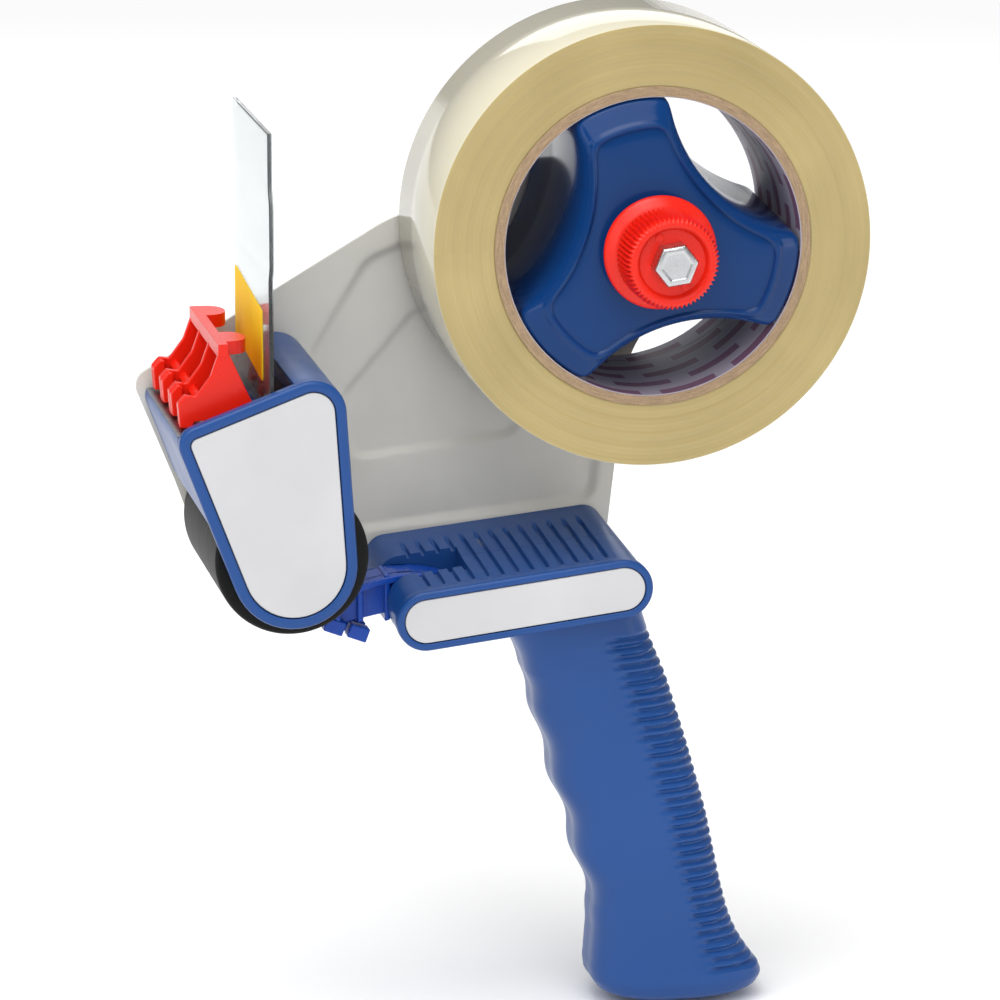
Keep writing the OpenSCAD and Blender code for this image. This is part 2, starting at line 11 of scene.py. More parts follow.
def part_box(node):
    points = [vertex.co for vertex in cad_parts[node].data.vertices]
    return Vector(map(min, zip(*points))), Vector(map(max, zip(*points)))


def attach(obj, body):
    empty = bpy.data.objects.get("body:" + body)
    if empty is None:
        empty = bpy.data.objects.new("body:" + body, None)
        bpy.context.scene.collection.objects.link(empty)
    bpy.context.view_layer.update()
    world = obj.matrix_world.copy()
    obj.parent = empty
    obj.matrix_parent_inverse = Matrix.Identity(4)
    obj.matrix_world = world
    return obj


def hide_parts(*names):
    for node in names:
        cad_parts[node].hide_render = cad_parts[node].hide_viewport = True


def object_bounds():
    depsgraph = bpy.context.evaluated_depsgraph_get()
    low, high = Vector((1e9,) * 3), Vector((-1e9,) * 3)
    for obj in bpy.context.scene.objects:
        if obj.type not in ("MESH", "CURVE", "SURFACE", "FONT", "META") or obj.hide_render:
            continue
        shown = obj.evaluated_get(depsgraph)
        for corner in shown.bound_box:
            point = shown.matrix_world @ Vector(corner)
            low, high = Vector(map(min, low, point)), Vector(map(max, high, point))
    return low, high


bl_info = {
    "name": "Tape dispenser",
    "version": (1, 0, 0),
    "blender": (4, 5, 0),
    "location": "View3D > Sidebar > Dispenser",
    "description": "Pieces and finishes of a hand-held packing-tape dispenser",
    "category": "Add Mesh",
}

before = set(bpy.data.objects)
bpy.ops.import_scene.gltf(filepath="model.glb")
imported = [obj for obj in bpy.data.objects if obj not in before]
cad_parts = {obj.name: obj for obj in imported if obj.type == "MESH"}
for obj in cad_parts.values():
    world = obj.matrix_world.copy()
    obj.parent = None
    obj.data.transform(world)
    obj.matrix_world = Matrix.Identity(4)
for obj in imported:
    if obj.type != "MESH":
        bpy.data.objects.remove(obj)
CAD_BOX = [list(corner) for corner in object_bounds()]
MM = 0.001
TURN = 2 * math.pi


def cad(node):
    """Lowest and highest corner of a CAD node, in millimetres."""
    low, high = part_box(node)
    return low / MM, high / MM


ROLL_LOW, ROLL_HIGH = cad("tape_winding")
ROLLER_LOW, ROLLER_HIGH = cad("roller_tyre")
ROLL_AT = ((ROLL_LOW.x + ROLL_HIGH.x) / 2, (ROLL_LOW.z + ROLL_HIGH.z) / 2)
ROLLER_AT = ((ROLLER_LOW.x + ROLLER_HIGH.x) / 2, (ROLLER_LOW.z + ROLLER_HIGH.z) / 2)
PLATE_NEAR = cad("friction_washer")[1].y
PLATE_BACK = cad("spindle_washer")[0].y
HEAD_SCREWS = ((-89, 116.8), (-84.2, 99.6), (-117.4, 98.5))
HANDLE_SCREWS = ((-38, 66.6), (-9, 68), (-9, 57.5), (-38, 59.2))
SHELL_SCREWS = ((10, -38), (-1, -5), (-13, 27))


def linear(code, alpha=1.0):
    """An sRGB hex colour as linear RGBA."""
    parts = [int(code[i : i + 2], 16) / 255 for i in (1, 3, 5)]
    parts = [c / 12.92 if c <= 0.04045 else ((c + 0.055) / 1.055) ** 2.4 for c in parts]
    return (*parts, alpha)


def colour(name, description, code):
    """A colour property with an sRGB hex default."""
    return FloatVectorProperty(
        name=name,
        description=description,
        subtype="COLOR",
        size=4,
        min=0.0,
        max=1.0,
        default=linear(code),
    )


def length(name, description, millimetres):
    """A length property with a default in millimetres."""
    return FloatProperty(
        name=name,
        description=description,
        default=millimetres * MM,
        unit="LENGTH",
        subtype="DISTANCE",
    )


class DispenserColours(bpy.types.PropertyGroup):
    """Colours of the finishes."""

    body: colour("Body plastic", "Handle and head mouldings", "#1B4787")
    hub: colour("Hub plastic", "Three-armed hub", "#09356C")
    lever: colour("Lever plastic", "Brake lever", "#0A42A4")
    red: colour("Red plastic", "Tape guide and knob", "#E3210F")
    panel: colour("Inserts", "White inserts of head and handle", "#C5C5C7")
    paint: colour("Plate paint", "Paint of the side plate", "#CECCC5")
    rubber: colour("Rubber", "Cover of the press roller", "#0B0B0C")
    tape: colour("Tape", "Cut edges of the wound tape", "#AA9862")
    board: colour("Board", "Cardboard core", "#9E866A")
    liner: colour("Liner", "Paper inside the core", "#B4AEBB")
    sticker: colour("Sticker", "Blank sticker of the flap", "#FFD21C")


class DispenserSizes(bpy.types.PropertyGroup):
    """Sizes of details that the frame leaves open."""

    edge: length("Edge radius", "Rounding of moulded edges", 0.45)
    rib_pitch: length("Rib pitch", "Spacing of the ribs on the grip's back", 2.45)
    rib_depth: length("Rib depth", "Depth between the ribs on the grip's back", 1.0)
    groove_pitch: length("Groove pitch", "Spacing of the housing's grooves", 3.9)
    lobe_width: length("Thumb lobe", "Width of a thumb lobe of the guide", 12.0)
    bead_height: length("Bead height", "Height of the bead round the hub's face", 0.7)
    knurls: IntProperty(
        name="Knurls", description="Ribs round the knob", default=60, min=20, max=90
    )


# ---- outlines in X and Z, in millimetres ---------------------------------


def arc(centre, r, start, sweep, steps):
    """Points along an arc."""
    turns = [start + sweep * k / steps for k in range(steps + 1)]
    return [(centre.x + r * math.cos(a), centre.y + r * math.sin(a)) for a in turns]


def corner_lines(corners):
    """Each corner, the directions to its neighbours, half its angle and its radius."""
    for i, (x, z, r) in enumerate(corners):
        b = Vector((x, z))
        u = (Vector(corners[i - 1][:2]) - b).normalized()
        w = (Vector(corners[(i + 1) % len(corners)][:2]) - b).normalized()
        yield b, u, w, math.acos(max(-1, min(1, u.dot(w)))) / 2, r


def rounded(corners, steps=10):
    """Outline through corners (x, z, radius), each rounded by its own radius."""
    points = []
    for b, u, w, half, r in corner_lines(corners):
        centre = b + (u + w).normalized() * r / math.sin(half)
        first = b + u * r / math.tan(half) - centre
        last = b + w * r / math.tan(half) - centre
        start = math.atan2(first.y, first.x)
        turn = math.atan2(last.y, last.x) - start
        points += arc(centre, r, start, (turn + math.pi) % TURN - math.pi, steps)
    return points


def inset(corners, d, least=0.4):
    """The same corners moved inwards by d, for a convex outline."""
    moved = []
    for b, u, w, half, r in corner_lines(corners):
        p = b + (u + w).normalized() * d / math.sin(half)
        moved.append((p.x, p.y, max(r - d, least)))
    return moved


def soften(points, times):
    """Rounds off the corners of a closed outline by averaging neighbours."""
    for _ in range(times):
        after = points[1:] + points[:1]
        points = [
            tuple((points[i - 1][k] + 2 * points[i][k] + after[i][k]) / 4 for k in (0, 1))
            for i in range(len(points))
        ]
    return points


def dense(points, pitch):
    """The same outline with points no further apart than about the pitch."""
    made = []
    for i in range(len(points)):
        a, b = Vector(points[i - 1]), Vector(points[i])
        parts = max(1, round((b - a).length / pitch))
        made += [tuple(a.lerp(b, k / parts)) for k in range(parts)]
    return made


def strip(points, inner, keep):
    """Outline of a wall: the kept outer points, and back along the inner ones."""
    kept = [i for i, p in enumerate(points) if keep(p)]
    for k in range(len(kept)):
        if kept[k] - kept[k - 1] not in (1, 1 - len(points)):
            kept = kept[k:] + kept[:k]
            break
    return [points[i] for i in kept] + [inner[i] for i in reversed(kept)]


def at_y(points, y):
    """An outline as a ring of points at one place on Y."""
    return [(x, y, z) for x, z in points]


def smoothstep(t):
    """A soft run from 0 to 1 as t goes from 0 to 1."""
    t = max(0.0, min(1.0, t))
    return t * t * (3 - 2 * t)


# ---- bmesh tools ----------------------------------------------------------

SHARP = math.radians(48)
SHARP_CUT = math.radians(40)
ROUNDED_FROM = math.radians(32)


def pull(bm, faces, along):
    """Extrudes faces and moves the new ones, in millimetres."""
    out = bmesh.ops.extrude_face_region(bm, geom=faces)
    fresh = [g for g in out["geom"] if isinstance(g, bmesh.types.BMVert)]
    bmesh.ops.translate(bm, verts=fresh, vec=[c * MM for c in along])


def prism(bm, points, y0, y1):
    """A flat outline in X and Z made solid between two places on Y."""
    verts = [bm.verts.new(Vector(p) * MM) for p in at_y(points, y0)]
    pull(bm, [bm.faces.new(verts)], (0, y1 - y0, 0))


def loft(bm, rings):
    """Closed rings of points joined one after another, with both ends closed."""
    verts = [bm.verts.new(Vector(p) * MM) for p in rings[0]]
    count = len(verts)
    edges = [bm.edges.new((verts[i - 1], verts[i])) for i in range(count)]
    bm.faces.new(verts)
    for ring in rings[1:]:
        out = bmesh.ops.extrude_edge_only(bm, edges=edges)
        fresh = {g for g in out["geom"] if isinstance(g, bmesh.types.BMVert)}
        after = []
        for v in verts:
            ends = [e.other_vert(v) for e in v.link_edges]
            after.append(next(e for e in ends if e in fresh))
        for v, p in zip(after, ring):
            v.co = Vector(p) * MM
        verts = after
        edges = [bm.edges.get((verts[i - 1], verts[i])) for i in range(count)]
    bm.faces.new(verts)


def turned(bm, profile, at, steps=96):
    """A closed profile of (radius, y) turned round an axis along Y."""
    verts = [bm.verts.new(Vector((at[0] + r, y, at[1])) * MM) for r, y in profile]
    edges = [bm.edges.new((verts[i - 1], verts[i])) for i in range(len(verts))]
    bmesh.ops.spin(
        bm,
        geom=verts + edges,
        cent=Vector((at[0], 0, at[1])) * MM,
        axis=(0, 1, 0),
        dvec=(0, 0, 0),
        angle=TURN,
        steps=steps,
        use_merge=True,
        use_duplicate=False,
    )


def mirrored(half, y0, y1):
    """A profile of (radius, y) closed by its own reflection midway between y0 and y1."""
    return half + [(r, y0 + y1 - y) for r, y in reversed(half)]


def round_bar(r, y0, y1, edge, hole=0.0):
    """Profile of a bar or washer with rounded edges, for turned()."""
    turns = (0, math.pi / 6, math.pi / 3, math.pi / 2)
    half = [(r - edge + edge * math.sin(a), y0 + edge - edge * math.cos(a)) for a in turns]
    return [(hole, y0)] + mirrored(half, y0, y1) + [(hole, y1)]


def coil(bm, at, r, y0, y1, turns, wire):
    """A round wire wound round an axis along Y, closed at both ends."""
    steps = int(turns * 28)
    made = bmesh.ops.create_circle(bm, cap_ends=True, segments=10, radius=wire * MM)
    place = Matrix.Translation(Vector((at[0] + r, y0, at[1])) * MM)
    bmesh.ops.transform(bm, matrix=place, verts=made["verts"])
    faces = list({f for v in made["verts"] for f in v.link_faces})
    edges = list({e for v in made["verts"] for e in v.link_edges})
    bmesh.ops.spin(
        bm,
        geom=made["verts"] + edges + faces,
        cent=Vector((at[0], 0, at[1])) * MM,
        axis=(0, 1, 0),
        dvec=(0, (y1 - y0) * MM / steps, 0),
        angle=TURN * turns,
        steps=steps,
        use_merge=False,
        use_duplicate=False,
    )


def bevel_sharp(bm, size, segments):
    """Rounds every sharp edge."""
    edges = [e for e in bm.edges if e.is_manifold and e.calc_face_angle(0) > ROUNDED_FROM]
    if edges:
        bmesh.ops.bevel(
            bm,
            geom=edges,
            offset=size * MM,
            offset_type="OFFSET",
            affect="EDGES",
            segments=segments,
            profile=0.5,
            material=-1,
            clamp_overlap=True,
        )


def new_object(name, data):
    """A new object in the scene that holds the data."""
    obj = bpy.data.objects.new(name, data)
    bpy.context.scene.collection.objects.link(obj)
    return obj


def mesh_object(name, bm, round_by=0.0, segments=3):
    """Turns a bmesh into an object with smooth, edge-split shading."""
    bmesh.ops.remove_doubles(bm, verts=bm.verts, dist=0.002 * MM)
    bmesh.ops.recalc_face_normals(bm, faces=bm.faces)
    if round_by:
        bevel_sharp(bm, round_by, segments)
    mesh = bpy.data.meshes.new(name)
    bm.to_mesh(mesh)
    bm.free()
    mesh.shade_smooth()
    mesh.set_sharp_from_angle(angle=SHARP)
    return new_object(name, mesh)


def cut(obj, name, bm, operation="DIFFERENCE"):
    """Cuts an object with another shape, which is then removed."""
    cutter = mesh_object(name, bm)
    step = obj.modifiers.new("cut", "BOOLEAN")
    step.operation = operation
    step.solver = "EXACT"
    step.object = cutter
    graph = bpy.context.evaluated_depsgraph_get()
    mesh = bpy.data.meshes.new_from_object(obj.evaluated_get(graph))
    old, used = obj.data, cutter.data
    obj.modifiers.remove(step)
    obj.data = mesh
    mesh.name = obj.name
    bpy.data.objects.remove(cutter)
    for done in (old, used):
        bpy.data.meshes.remove(done)
    mesh.shade_smooth()
    mesh.set_sharp_from_angle(angle=SHARP_CUT)


MATERIALS = {}


def fit(obj, body, finish, *nodes, even=True):
    """Gives a piece its finish, its body and the CAD nodes it stands for."""
    obj.data.materials.clear()
    obj.data.materials.append(MATERIALS[finish])
    if even:
        step = obj.modifiers.new("even shading", "WEIGHTED_NORMAL")
        step.keep_sharp = True
        step.weight = 60
    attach(obj, body)
    if nodes:
        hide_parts(*nodes)


def piece(name, bm, body, finish, *nodes, round_by=0.0, segments=3, even=True):
    """Makes a bmesh a finished piece."""
    fit(mesh_object(name, bm, round_by, segments), body, finish, *nodes, even=even)


def dress(finish, *nodes):
    """Gives carried-over CAD nodes their finish."""
    for node in nodes:
        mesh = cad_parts[node].data
        mesh.materials.clear()
        mesh.materials.append(MATERIALS[finish])


# ---- finishes ---------------------------------------------------------------


def add(tree, kind, settings=None, links=None):
    """Adds a node with its settings, the stops of its ramp, and its links.

    A link comes from a socket, or from the first output of a node.
    """
    node = tree.nodes.new("ShaderNode" + kind)
    for key, value in (settings or {}).items():
        if key == "stops":
            for stop, (position, tone) in zip(node.color_ramp.elements, value):
                stop.position, stop.color = position, tone
        elif isinstance(key, str) and hasattr(node, key):
            setattr(node, key, value)
        else:
            node.inputs[key].default_value = value
    for key, source in (links or {}).items():
        socket = source.outputs[0] if isinstance(source, bpy.types.Node) else source
        tree.links.new(socket, node.inputs[key])
    return node


def new_material(name):
    """A cleared material, its tree and its object coordinates."""
    made = bpy.data.materials.new(name)
    made.use_nodes = True
    tree = made.node_tree
    tree.nodes.clear()
    return made, tree, add(tree, "TexCoord").outputs["Object"]


def finished(made, tone, rough, relief=None, settings=None):
    """Wires a material's patterns into its Principled shader and its output.

    The tone is a colour or a pattern; rough is a number or (pattern, lowest,
    highest); relief is (pattern, strength, depth in millimetres).
    """
    tree = made.node_tree
    settings, links = dict(settings or {}), {}
    if isinstance(tone, tuple):
        settings["Base Color"] = tone
    else:
        links["Base Color"] = tone
    if isinstance(rough, tuple):
        span = {"To Min": rough[1], "To Max": rough[2]}
        links["Roughness"] = add(tree, "MapRange", span, {"Value": rough[0]})
    else:
        settings["Roughness"] = rough
    if relief:
        height = {"Strength": relief[1], "Distance": relief[2] * MM}
        links["Normal"] = add(tree, "Bump", height, {"Height": relief[0]})
    shader = add(tree, "BsdfPrincipled", settings, links)
    add(tree, "OutputMaterial", None, {"Surface": shader})
    return made


def toned(base, *factors):
    """A colour made darker or lighter by one factor or by three, never past white."""
    factors *= 3 // len(factors)
    return tuple(min(1, c * k) for c, k in zip(base, factors)) + (1,)


def vary(tree, place, base, amount, per_metre, detail=3.0):
    """Colour that drifts darker and lighter round a base over the surface."""
    drift = add(tree, "TexNoise", {"Scale": per_metre, "Detail": detail}, {"Vector": place})
    stops = ((0.3, toned(base, 1 - amount)), (0.7, toned(base, 1 + amount)))
    return add(tree, "ValToRGB", {"stops": stops}, {"Fac": drift})


def moulded_plastic(name, base, roughness, grain_mm, depth_mm, sheen=0.3):
    """Injection-moulded plastic: a smooth skin with faint orange peel and soft flow
    marks in the gloss."""
    made, tree, place = new_material(name)
    tone = vary(tree, place, base, 0.06, 28)
    grain = add(tree, "TexNoise", {"Scale": 1000 / grain_mm, "Detail": 2.0}, {"Vector": place})
    marks = {"Scale": 60, "Detail": 5.0, "Distortion": 0.6}
    flow = add(tree, "TexNoise", marks, {"Vector": place})
    gloss = (flow, roughness - 0.06, roughness + 0.1)
    skin = {"IOR": 1.53, "Specular IOR Level": sheen}
    return finished(made, tone, gloss, (grain, 0.35, depth_mm), skin)


def lined(tree, place, stretch, per_metre, detail):
    """Fine lines: noise that a stretch draws out along an axis."""
    drawn = add(tree, "Mapping", {"Scale": stretch}, {"Vector": place})
    return add(tree, "TexNoise", {"Scale": per_metre, "Detail": detail}, {"Vector": drawn})


def plate_paint(name, base):
    """Grey stoving enamel on pressed sheet steel: slightly mottled, satin, with the
    fine draw lines of the press showing through."""
    made, tree, place = new_material(name)
    lines = lined(tree, place, (1, 1, 0.06), 900, 3.0)
    tone = vary(tree, place, base, 0.05, 45, 6.0)
    return finished(made, tone, (lines, 0.28, 0.42), (lines, 0.25, 0.03))


def steel(name, base, roughness, line_mm, stretch=(1, 1, 1)):
    """Plated or bare metal: fine turned or rolled lines, and a little cloudiness
    from the plating bath."""
    made, tree, place = new_material(name)
    lines = lined(tree, place, stretch, 1000 / line_mm, 3.0)
    tone = vary(tree, place, base, 0.08, 180)
    gloss = (lines, roughness - 0.07, roughness + 0.12)
    return finished(made, tone, gloss, (lines, 0.3, 0.02), {"Metallic": 1.0})


def rubber(name, base):
    """Vulcanised rubber, ground on a lathe: near black, dull, with fine grinding
    rings along the roller and a dusty bloom."""
    made, tree, place = new_material(name)
    rings = lined(tree, place, (0.05, 1, 0.05), 2200, 2.0)
    tone = vary(tree, place, base, 0.35, 90, 6.0)
    dull = {"Specular IOR Level": 0.2}
    return finished(made, tone, (rings, 0.42, 0.6), (rings, 0.4, 0.05), dull)


def round_roll(tree, place):
    """Distance from the roll's axis, angle round it and place along it."""
    centre = {"Location": (-ROLL_AT[0] * MM, 0, -ROLL_AT[1] * MM)}
    moved = add(tree, "Mapping", centre, {"Vector": place})
    x, y, z = add(tree, "SeparateXYZ", None, {"Vector": moved}).outputs
    flat = add(tree, "CombineXYZ", None, {"X": x, "Z": z})
    radius = add(tree, "VectorMath", {"operation": "LENGTH"}, {"Vector": flat})
    angle = add(tree, "Math", {"operation": "ARCTAN2"}, {0: z, 1: x})
    return radius.outputs["Value"], angle, y


def layered(tree, radius, angle, creep):
    """Coordinates that change from layer to layer, and slowly round the roll."""
    slow = add(tree, "Math", {"operation": "MULTIPLY", 1: creep}, {0: angle})
    return add(tree, "CombineXYZ", None, {"X": radius, "Y": slow})


def wound_tape(name, base):
    """Clear polypropylene tape wound on itself: honey-coloured where the cut edges
    stack up, in rings of slightly different tension, with a glossy outer turn."""
    made, tree, place = new_material(name)
    radius, angle, _ = round_roll(tree, place)
    # The layers are 0.05 mm thick; they are drawn about 0.5 mm apart so they show.
    point = {"Vector": layered(tree, radius, angle, 0.0006)}
    fine = add(tree, "TexNoise", {"Scale": 1900, "Detail": 4.0, "Roughness": 0.6}, point)
    broad = add(tree, "TexNoise", {"Scale": 210, "Detail": 2.0}, point)
    clouds = {"Scale": 20, "Detail": 2.0, "Distortion": 0.5}
    cloud = add(tree, "TexNoise", clouds, {"Vector": place})
    rings = add(tree, "Mix", {"data_type": "FLOAT", "Factor": 0.6}, {2: fine, 3: broad})
    mixed = add(tree, "Mix", {"data_type": "FLOAT", "Factor": 0.62}, {2: rings, 3: cloud})
    stops = ((0.36, toned(base, 0.86)), (0.64, toned(base, 1.15, 1.16, 1.24)))
    edges = add(tree, "ValToRGB", {"stops": stops}, {"Fac": mixed})
    # The outer turn is clearer and paler than the cut edges.
    last = {"From Min": (ROLL_HIGH.x - 0.25) * MM, "From Max": (ROLL_HIGH.x - 0.05) * MM}
    rim = add(tree, "MapRange", last, {"Value": radius})
    pale = {"data_type": "RGBA", "clamp_factor": True, 7: linear("#D8D2BB")}
    tone = add(tree, "Mix", pale, {0: rim, 6: edges}).outputs[2]
    film = {
        "Subsurface Weight": 0.25,
        "Subsurface Radius": (1.0, 0.8, 0.45),
        "Subsurface Scale": 2.5 * MM,
        "IOR": 1.49,
        "Coat Weight": 0.35,
        "Coat Roughness": 0.1,
    }
    return finished(made, tone, (rim, 0.36, 0.1), (fine, 0.2, 0.04), film)


def core_board(name, base):
    """Spiral-wound kraft board: brown, fibrous and dull, with paler fibres at the
    sawn end."""
    made, tree, place = new_material(name)
    radius, angle, _ = round_roll(tree, place)
    ply = {"Vector": layered(tree, radius, angle, 0.004)}
    # Plies are 0.4 mm thick; fibres are 0.2 mm wide on the sawn end.
    plies = add(tree, "TexNoise", {"Scale": 2500, "Detail": 2.0}, ply)
    hairs = {"Scale": 2400, "Detail": 5.0, "Roughness": 0.7}
    fibres = add(tree, "TexNoise", hairs, {"Vector": place})
    fibre = add(tree, "Mix", {"data_type": "FLOAT", "Factor": 0.5}, {2: plies, 3: fibres})
    stops = ((0.36, toned(base, 0.72)), (0.66, toned(base, 1.25)))
    tone = add(tree, "ValToRGB", {"stops": stops}, {"Fac": fibre})
    return finished(made, tone, 0.88, (fibre, 0.5, 0.12))


def liner_paper(name, base):
    """Smooth paper wound on the slant inside the core: pale lilac grey, with the
    fine butt joint of the spiral running round it."""
    made, tree, place = new_material(name)
    _, angle, along = round_roll(tree, place)
    turns = add(tree, "Math", {"operation": "MULTIPLY", 1: 1 / TURN}, {0: angle})
    # One strip is 60 mm wide along the axis for each turn.
    strips = {"operation": "MULTIPLY_ADD", 1: 1 / 0.060}
    pitch = add(tree, "Math", strips, {0: along, 2: turns})
    seam = add(tree, "Math", {"operation": "PINGPONG", 1: 0.5}, {0: pitch})
    joint = {"From Min": 0.004, "From Max": 0.012}
    line = add(tree, "MapRange", joint, {"Value": seam})
    stops = ((0, toned(base, 0.55)), (1, base))
    paper = add(tree, "ValToRGB", {"stops": stops}, {"Fac": line})
    # Plain printed bars, 14.5 mm long and 4.4 mm high, in staggered rows 10 mm apart.
    inner = {"operation": "MULTIPLY", 1: 0.0381}
    around = add(tree, "Math", inner, {0: angle})
    flat = add(tree, "CombineXYZ", None, {"X": around, "Y": along})
    print_bars = {
        "offset": 0.5,
        "Scale": 1.0,
        "Brick Width": 0.01995,
        "Row Height": 0.0098,
        "Mortar Size": 0.0027,
        "Mortar Smooth": 0.05,
        "Color1": linear("#86607A"),
        "Color2": linear("#86607A"),
    }
    bars = add(tree, "TexBrick", print_bars, {"Vector": flat, "Mortar": paper})
    grain = add(tree, "TexNoise", {"Scale": 2500, "Detail": 3.0}, {"Vector": place})
    return finished(made, bars, 0.55, (grain, 0.25, 0.03))


def clear_sheet(name):
    """Clear acrylic-like sheet: colourless and glossy, faintly grey along its cut
    edges, with light scuffs."""
    made, tree, place = new_material(name)
    scuffs = {"Scale": 260, "Detail": 8.0, "Roughness": 0.7}
    scuff = add(tree, "TexNoise", scuffs, {"Vector": place})
    clear = {"Transmission Weight": 0.97, "IOR": 1.35}
    return finished(made, linear("#E9F0F2"), (scuff, 0.02, 0.12), None, clear)


def sticker_film(name, base):
    """Printed vinyl film left blank: strong yellow, smooth, slightly glossy."""
    made, tree, place = new_material(name)
    tone = vary(tree, place, base, 0.04, 120)
    return finished(made, tone, 0.6, None, {"Specular IOR Level": 0.12})


def make_materials(colours):
    """All finishes, each named for its real material."""
    # Key, material, colour, roughness, size and depth of the orange peel in mm, sheen
    plastics = (
        ("body", "abs blue", colours.body, 0.3, 1.1, 0.02),
        ("hub", "abs deep blue", colours.hub, 0.12, 2.5, 0.02, 0.2),
        ("lever", "acetal bright blue", colours.lever, 0.24, 1.5, 0.02),
        ("red", "abs red", colours.red, 0.26, 1.4, 0.02),
        ("panel", "pvc white", colours.panel, 0.3, 3.0, 0.01),
        ("natural", "nylon natural", linear("#DAD7CC"), 0.4, 1.0, 0.02),
        ("fibre", "vulcanised fibre", linear("#6E4129"), 0.6, 0.5, 0.05),
    )
    # Key, material, colour, roughness, spacing of the lines in mm, stretch
    metals = (
        ("zinc", "zinc plated steel", "#C9CBCD", 0.26, 0.35),
        ("blade", "hardened strip steel", "#85868A", 0.3, 0.5, (1, 0.05, 1)),
        ("spring", "drawn spring wire", "#8D8F92", 0.3, 0.3),
        ("yellow_zinc", "yellow passivated wire", "#CDAA52", 0.3, 0.3),
        ("bronze", "sintered bronze", "#B98D4B", 0.42, 0.4),
    )
    m = MATERIALS
    for key, name, base, *look in plastics:
        m[key] = moulded_plastic(name, tuple(base), *look)
    for key, name, code, *look in metals:
        m[key] = steel(name, linear(code), *look)
    m["paint"] = plate_paint("enamel grey", tuple(colours.paint))
    m["rubber"] = rubber("black rubber", tuple(colours.rubber))
    m["tape"] = wound_tape("wound polypropylene tape", tuple(colours.tape))
    m["board"] = core_board("kraft board", tuple(colours.board))
    m["liner"] = liner_paper("core lining paper", tuple(colours.liner))
    m["clear"] = clear_sheet("clear sheet")
    m["sticker"] = sticker_film("yellow vinyl film", tuple(colours.sticker))


# ---- steel plate --------------------------------------------------------------

PLATE_CORNERS = (
    ((-126, 111.7, 4.5), (-60, 150.3, 30), (-15.5, 168.5, 16), (18.5, 168.5, 16))
    + ((18.5, 134, 12), (4.5, 112, 25), (-2.2, 54, 5), (-106, 58.5, 8), (-115, 84.3, 3))
)
OUTER_FIELD = (
    ((-79, 116.8, 6), (-64.5, 140.6, 8), (-52, 145.4, 8), (-26, 147, 8))
    + ((-17, 126, 10), (-1.5, 112, 20), (-4.7, 74.6, 5), (-73, 68.6, 5))
)
INNER_FIELD = (
    ((-70.5, 105.2, 4), (-51.5, 127, 6), (-34, 127, 6), (-22, 93.2, 5), (-68.5, 88, 4))
)
# Fields pressed one inside the other: corners, depth and width of the step
FIELDS = ((OUTER_FIELD, 1.15, 1.8), (INNER_FIELD, 0.9, 1.4))


def inside_by(p, outline):
    """How far a point is inside a convex outline; negative outside."""
    sides = [(outline[i - 1], outline[i]) for i in range(len(outline))]
    side = 1 if sum(a[0] * b[1] - b[0] * a[1] for a, b in sides) > 0 else -1
    best = 1e9
    for a, b in sides:
        dx, dz = b[0] - a[0], b[1] - a[1]
        size = math.hypot(dx, dz)
        if size > 1e-6:
            best = min(best, side * (dx * (p[1] - a[1]) - dz * (p[0] - a[0])) / size)
    return best


def make_plate():
    """Pressed sheet: a dense slab whose relief is pressed in, cut to its outline."""
    x0, x1, z0, z1 = -128.0, 21.0, 50.0, 171.0
    bm = bmesh.new()
    bmesh.ops.create_grid(
        bm, x_segments=int(x1 - x0), y_segments=int(z1 - z0), size=0.5
    )
    for v in bm.verts:
        x = (x0 + x1) / 2 + v.co.x * (x1 - x0)
        z = (z0 + z1) / 2 + v.co.y * (z1 - z0)
        v.co = Vector((x, PLATE_NEAR, z)) * MM
    pull(bm, bm.faces[:], (0, PLATE_BACK - PLATE_NEAR, 0))
    fields = [(rounded(corners, 6), depth, step) for corners, depth, step in FIELDS]
    for v in bm.verts:
        p = (v.co.x / MM, v.co.z / MM)
        for outline, depth, step in fields:
            v.co.y += depth * MM * smoothstep(inside_by(p, outline) / step + 0.5)
    sheet = mesh_object("side_plate_sheet", bm)
    bm = bmesh.new()
    prism(bm, rounded(PLATE_CORNERS, 12), PLATE_NEAR - 6, PLATE_BACK + 6)
    cut(sheet, "outline", bm, "INTERSECT")
    edge = sheet.modifiers.new("rolled edge", "BEVEL")
    edge.width = 0.25 * MM
    edge.segments = 2
    edge.limit_method = "ANGLE"
    edge.angle_limit = math.radians(60)
    fit(sheet, "frame", "paint", "side_plate")


# ---- handle ---------------------------------------------------------------------

# Grip stations: height, front, rear, half width
GRIP = (
    ((-53, -2.6, 27, 12.7), (-52.5, -5.6, 30.7, 14.5), (-51, -8.8, 33.9, 15.8))
    + ((-48.4, -10.6, 35.3, 16.6), (-45.6, -11, 34.3, 16.6), (-40, -10.6, 30, 16))
    + ((-33, -10, 26.6, 15.5), (-24, -12, 24.2, 15.5), (-3, -18, 19.9, 15.5))
    + ((16, -24, 14.6, 15.2), (34, -28, 9, 15), (42, -29.8, 5.6, 15.2))
    + ((48, -34, 3.4, 15.6), (53, -39, 2, 16))
)
FOOT, NECK = GRIP[0][0], GRIP[-1][0]
RIM_A, RIM_B = Vector((-57.2, 55.1)), Vector((-6.0, 61.0))
FAR_TOP_A, FAR_TOP_B = Vector((-60.0, 62.2)), Vector((-7.6, 67.6))
FAR_LOW_B = Vector((-6.5, 60.5))
RIM_NEAR, RIM_BACK = cad("handle_near_shell")[0].y, -19.0
HOUSING_BACK = cad("handle_far_shell")[1].y
GROOVES = 13


def station(z):
    """Front, rear and half width of the grip at a height."""
    for a, b in zip(GRIP, GRIP[1:]):
        if z <= b[0]:
            t = (z - a[0]) / (b[0] - a[0])
            return [a[k] + (b[k] - a[k]) * t for k in (1, 2, 3)]
    return list(GRIP[-1][1:])


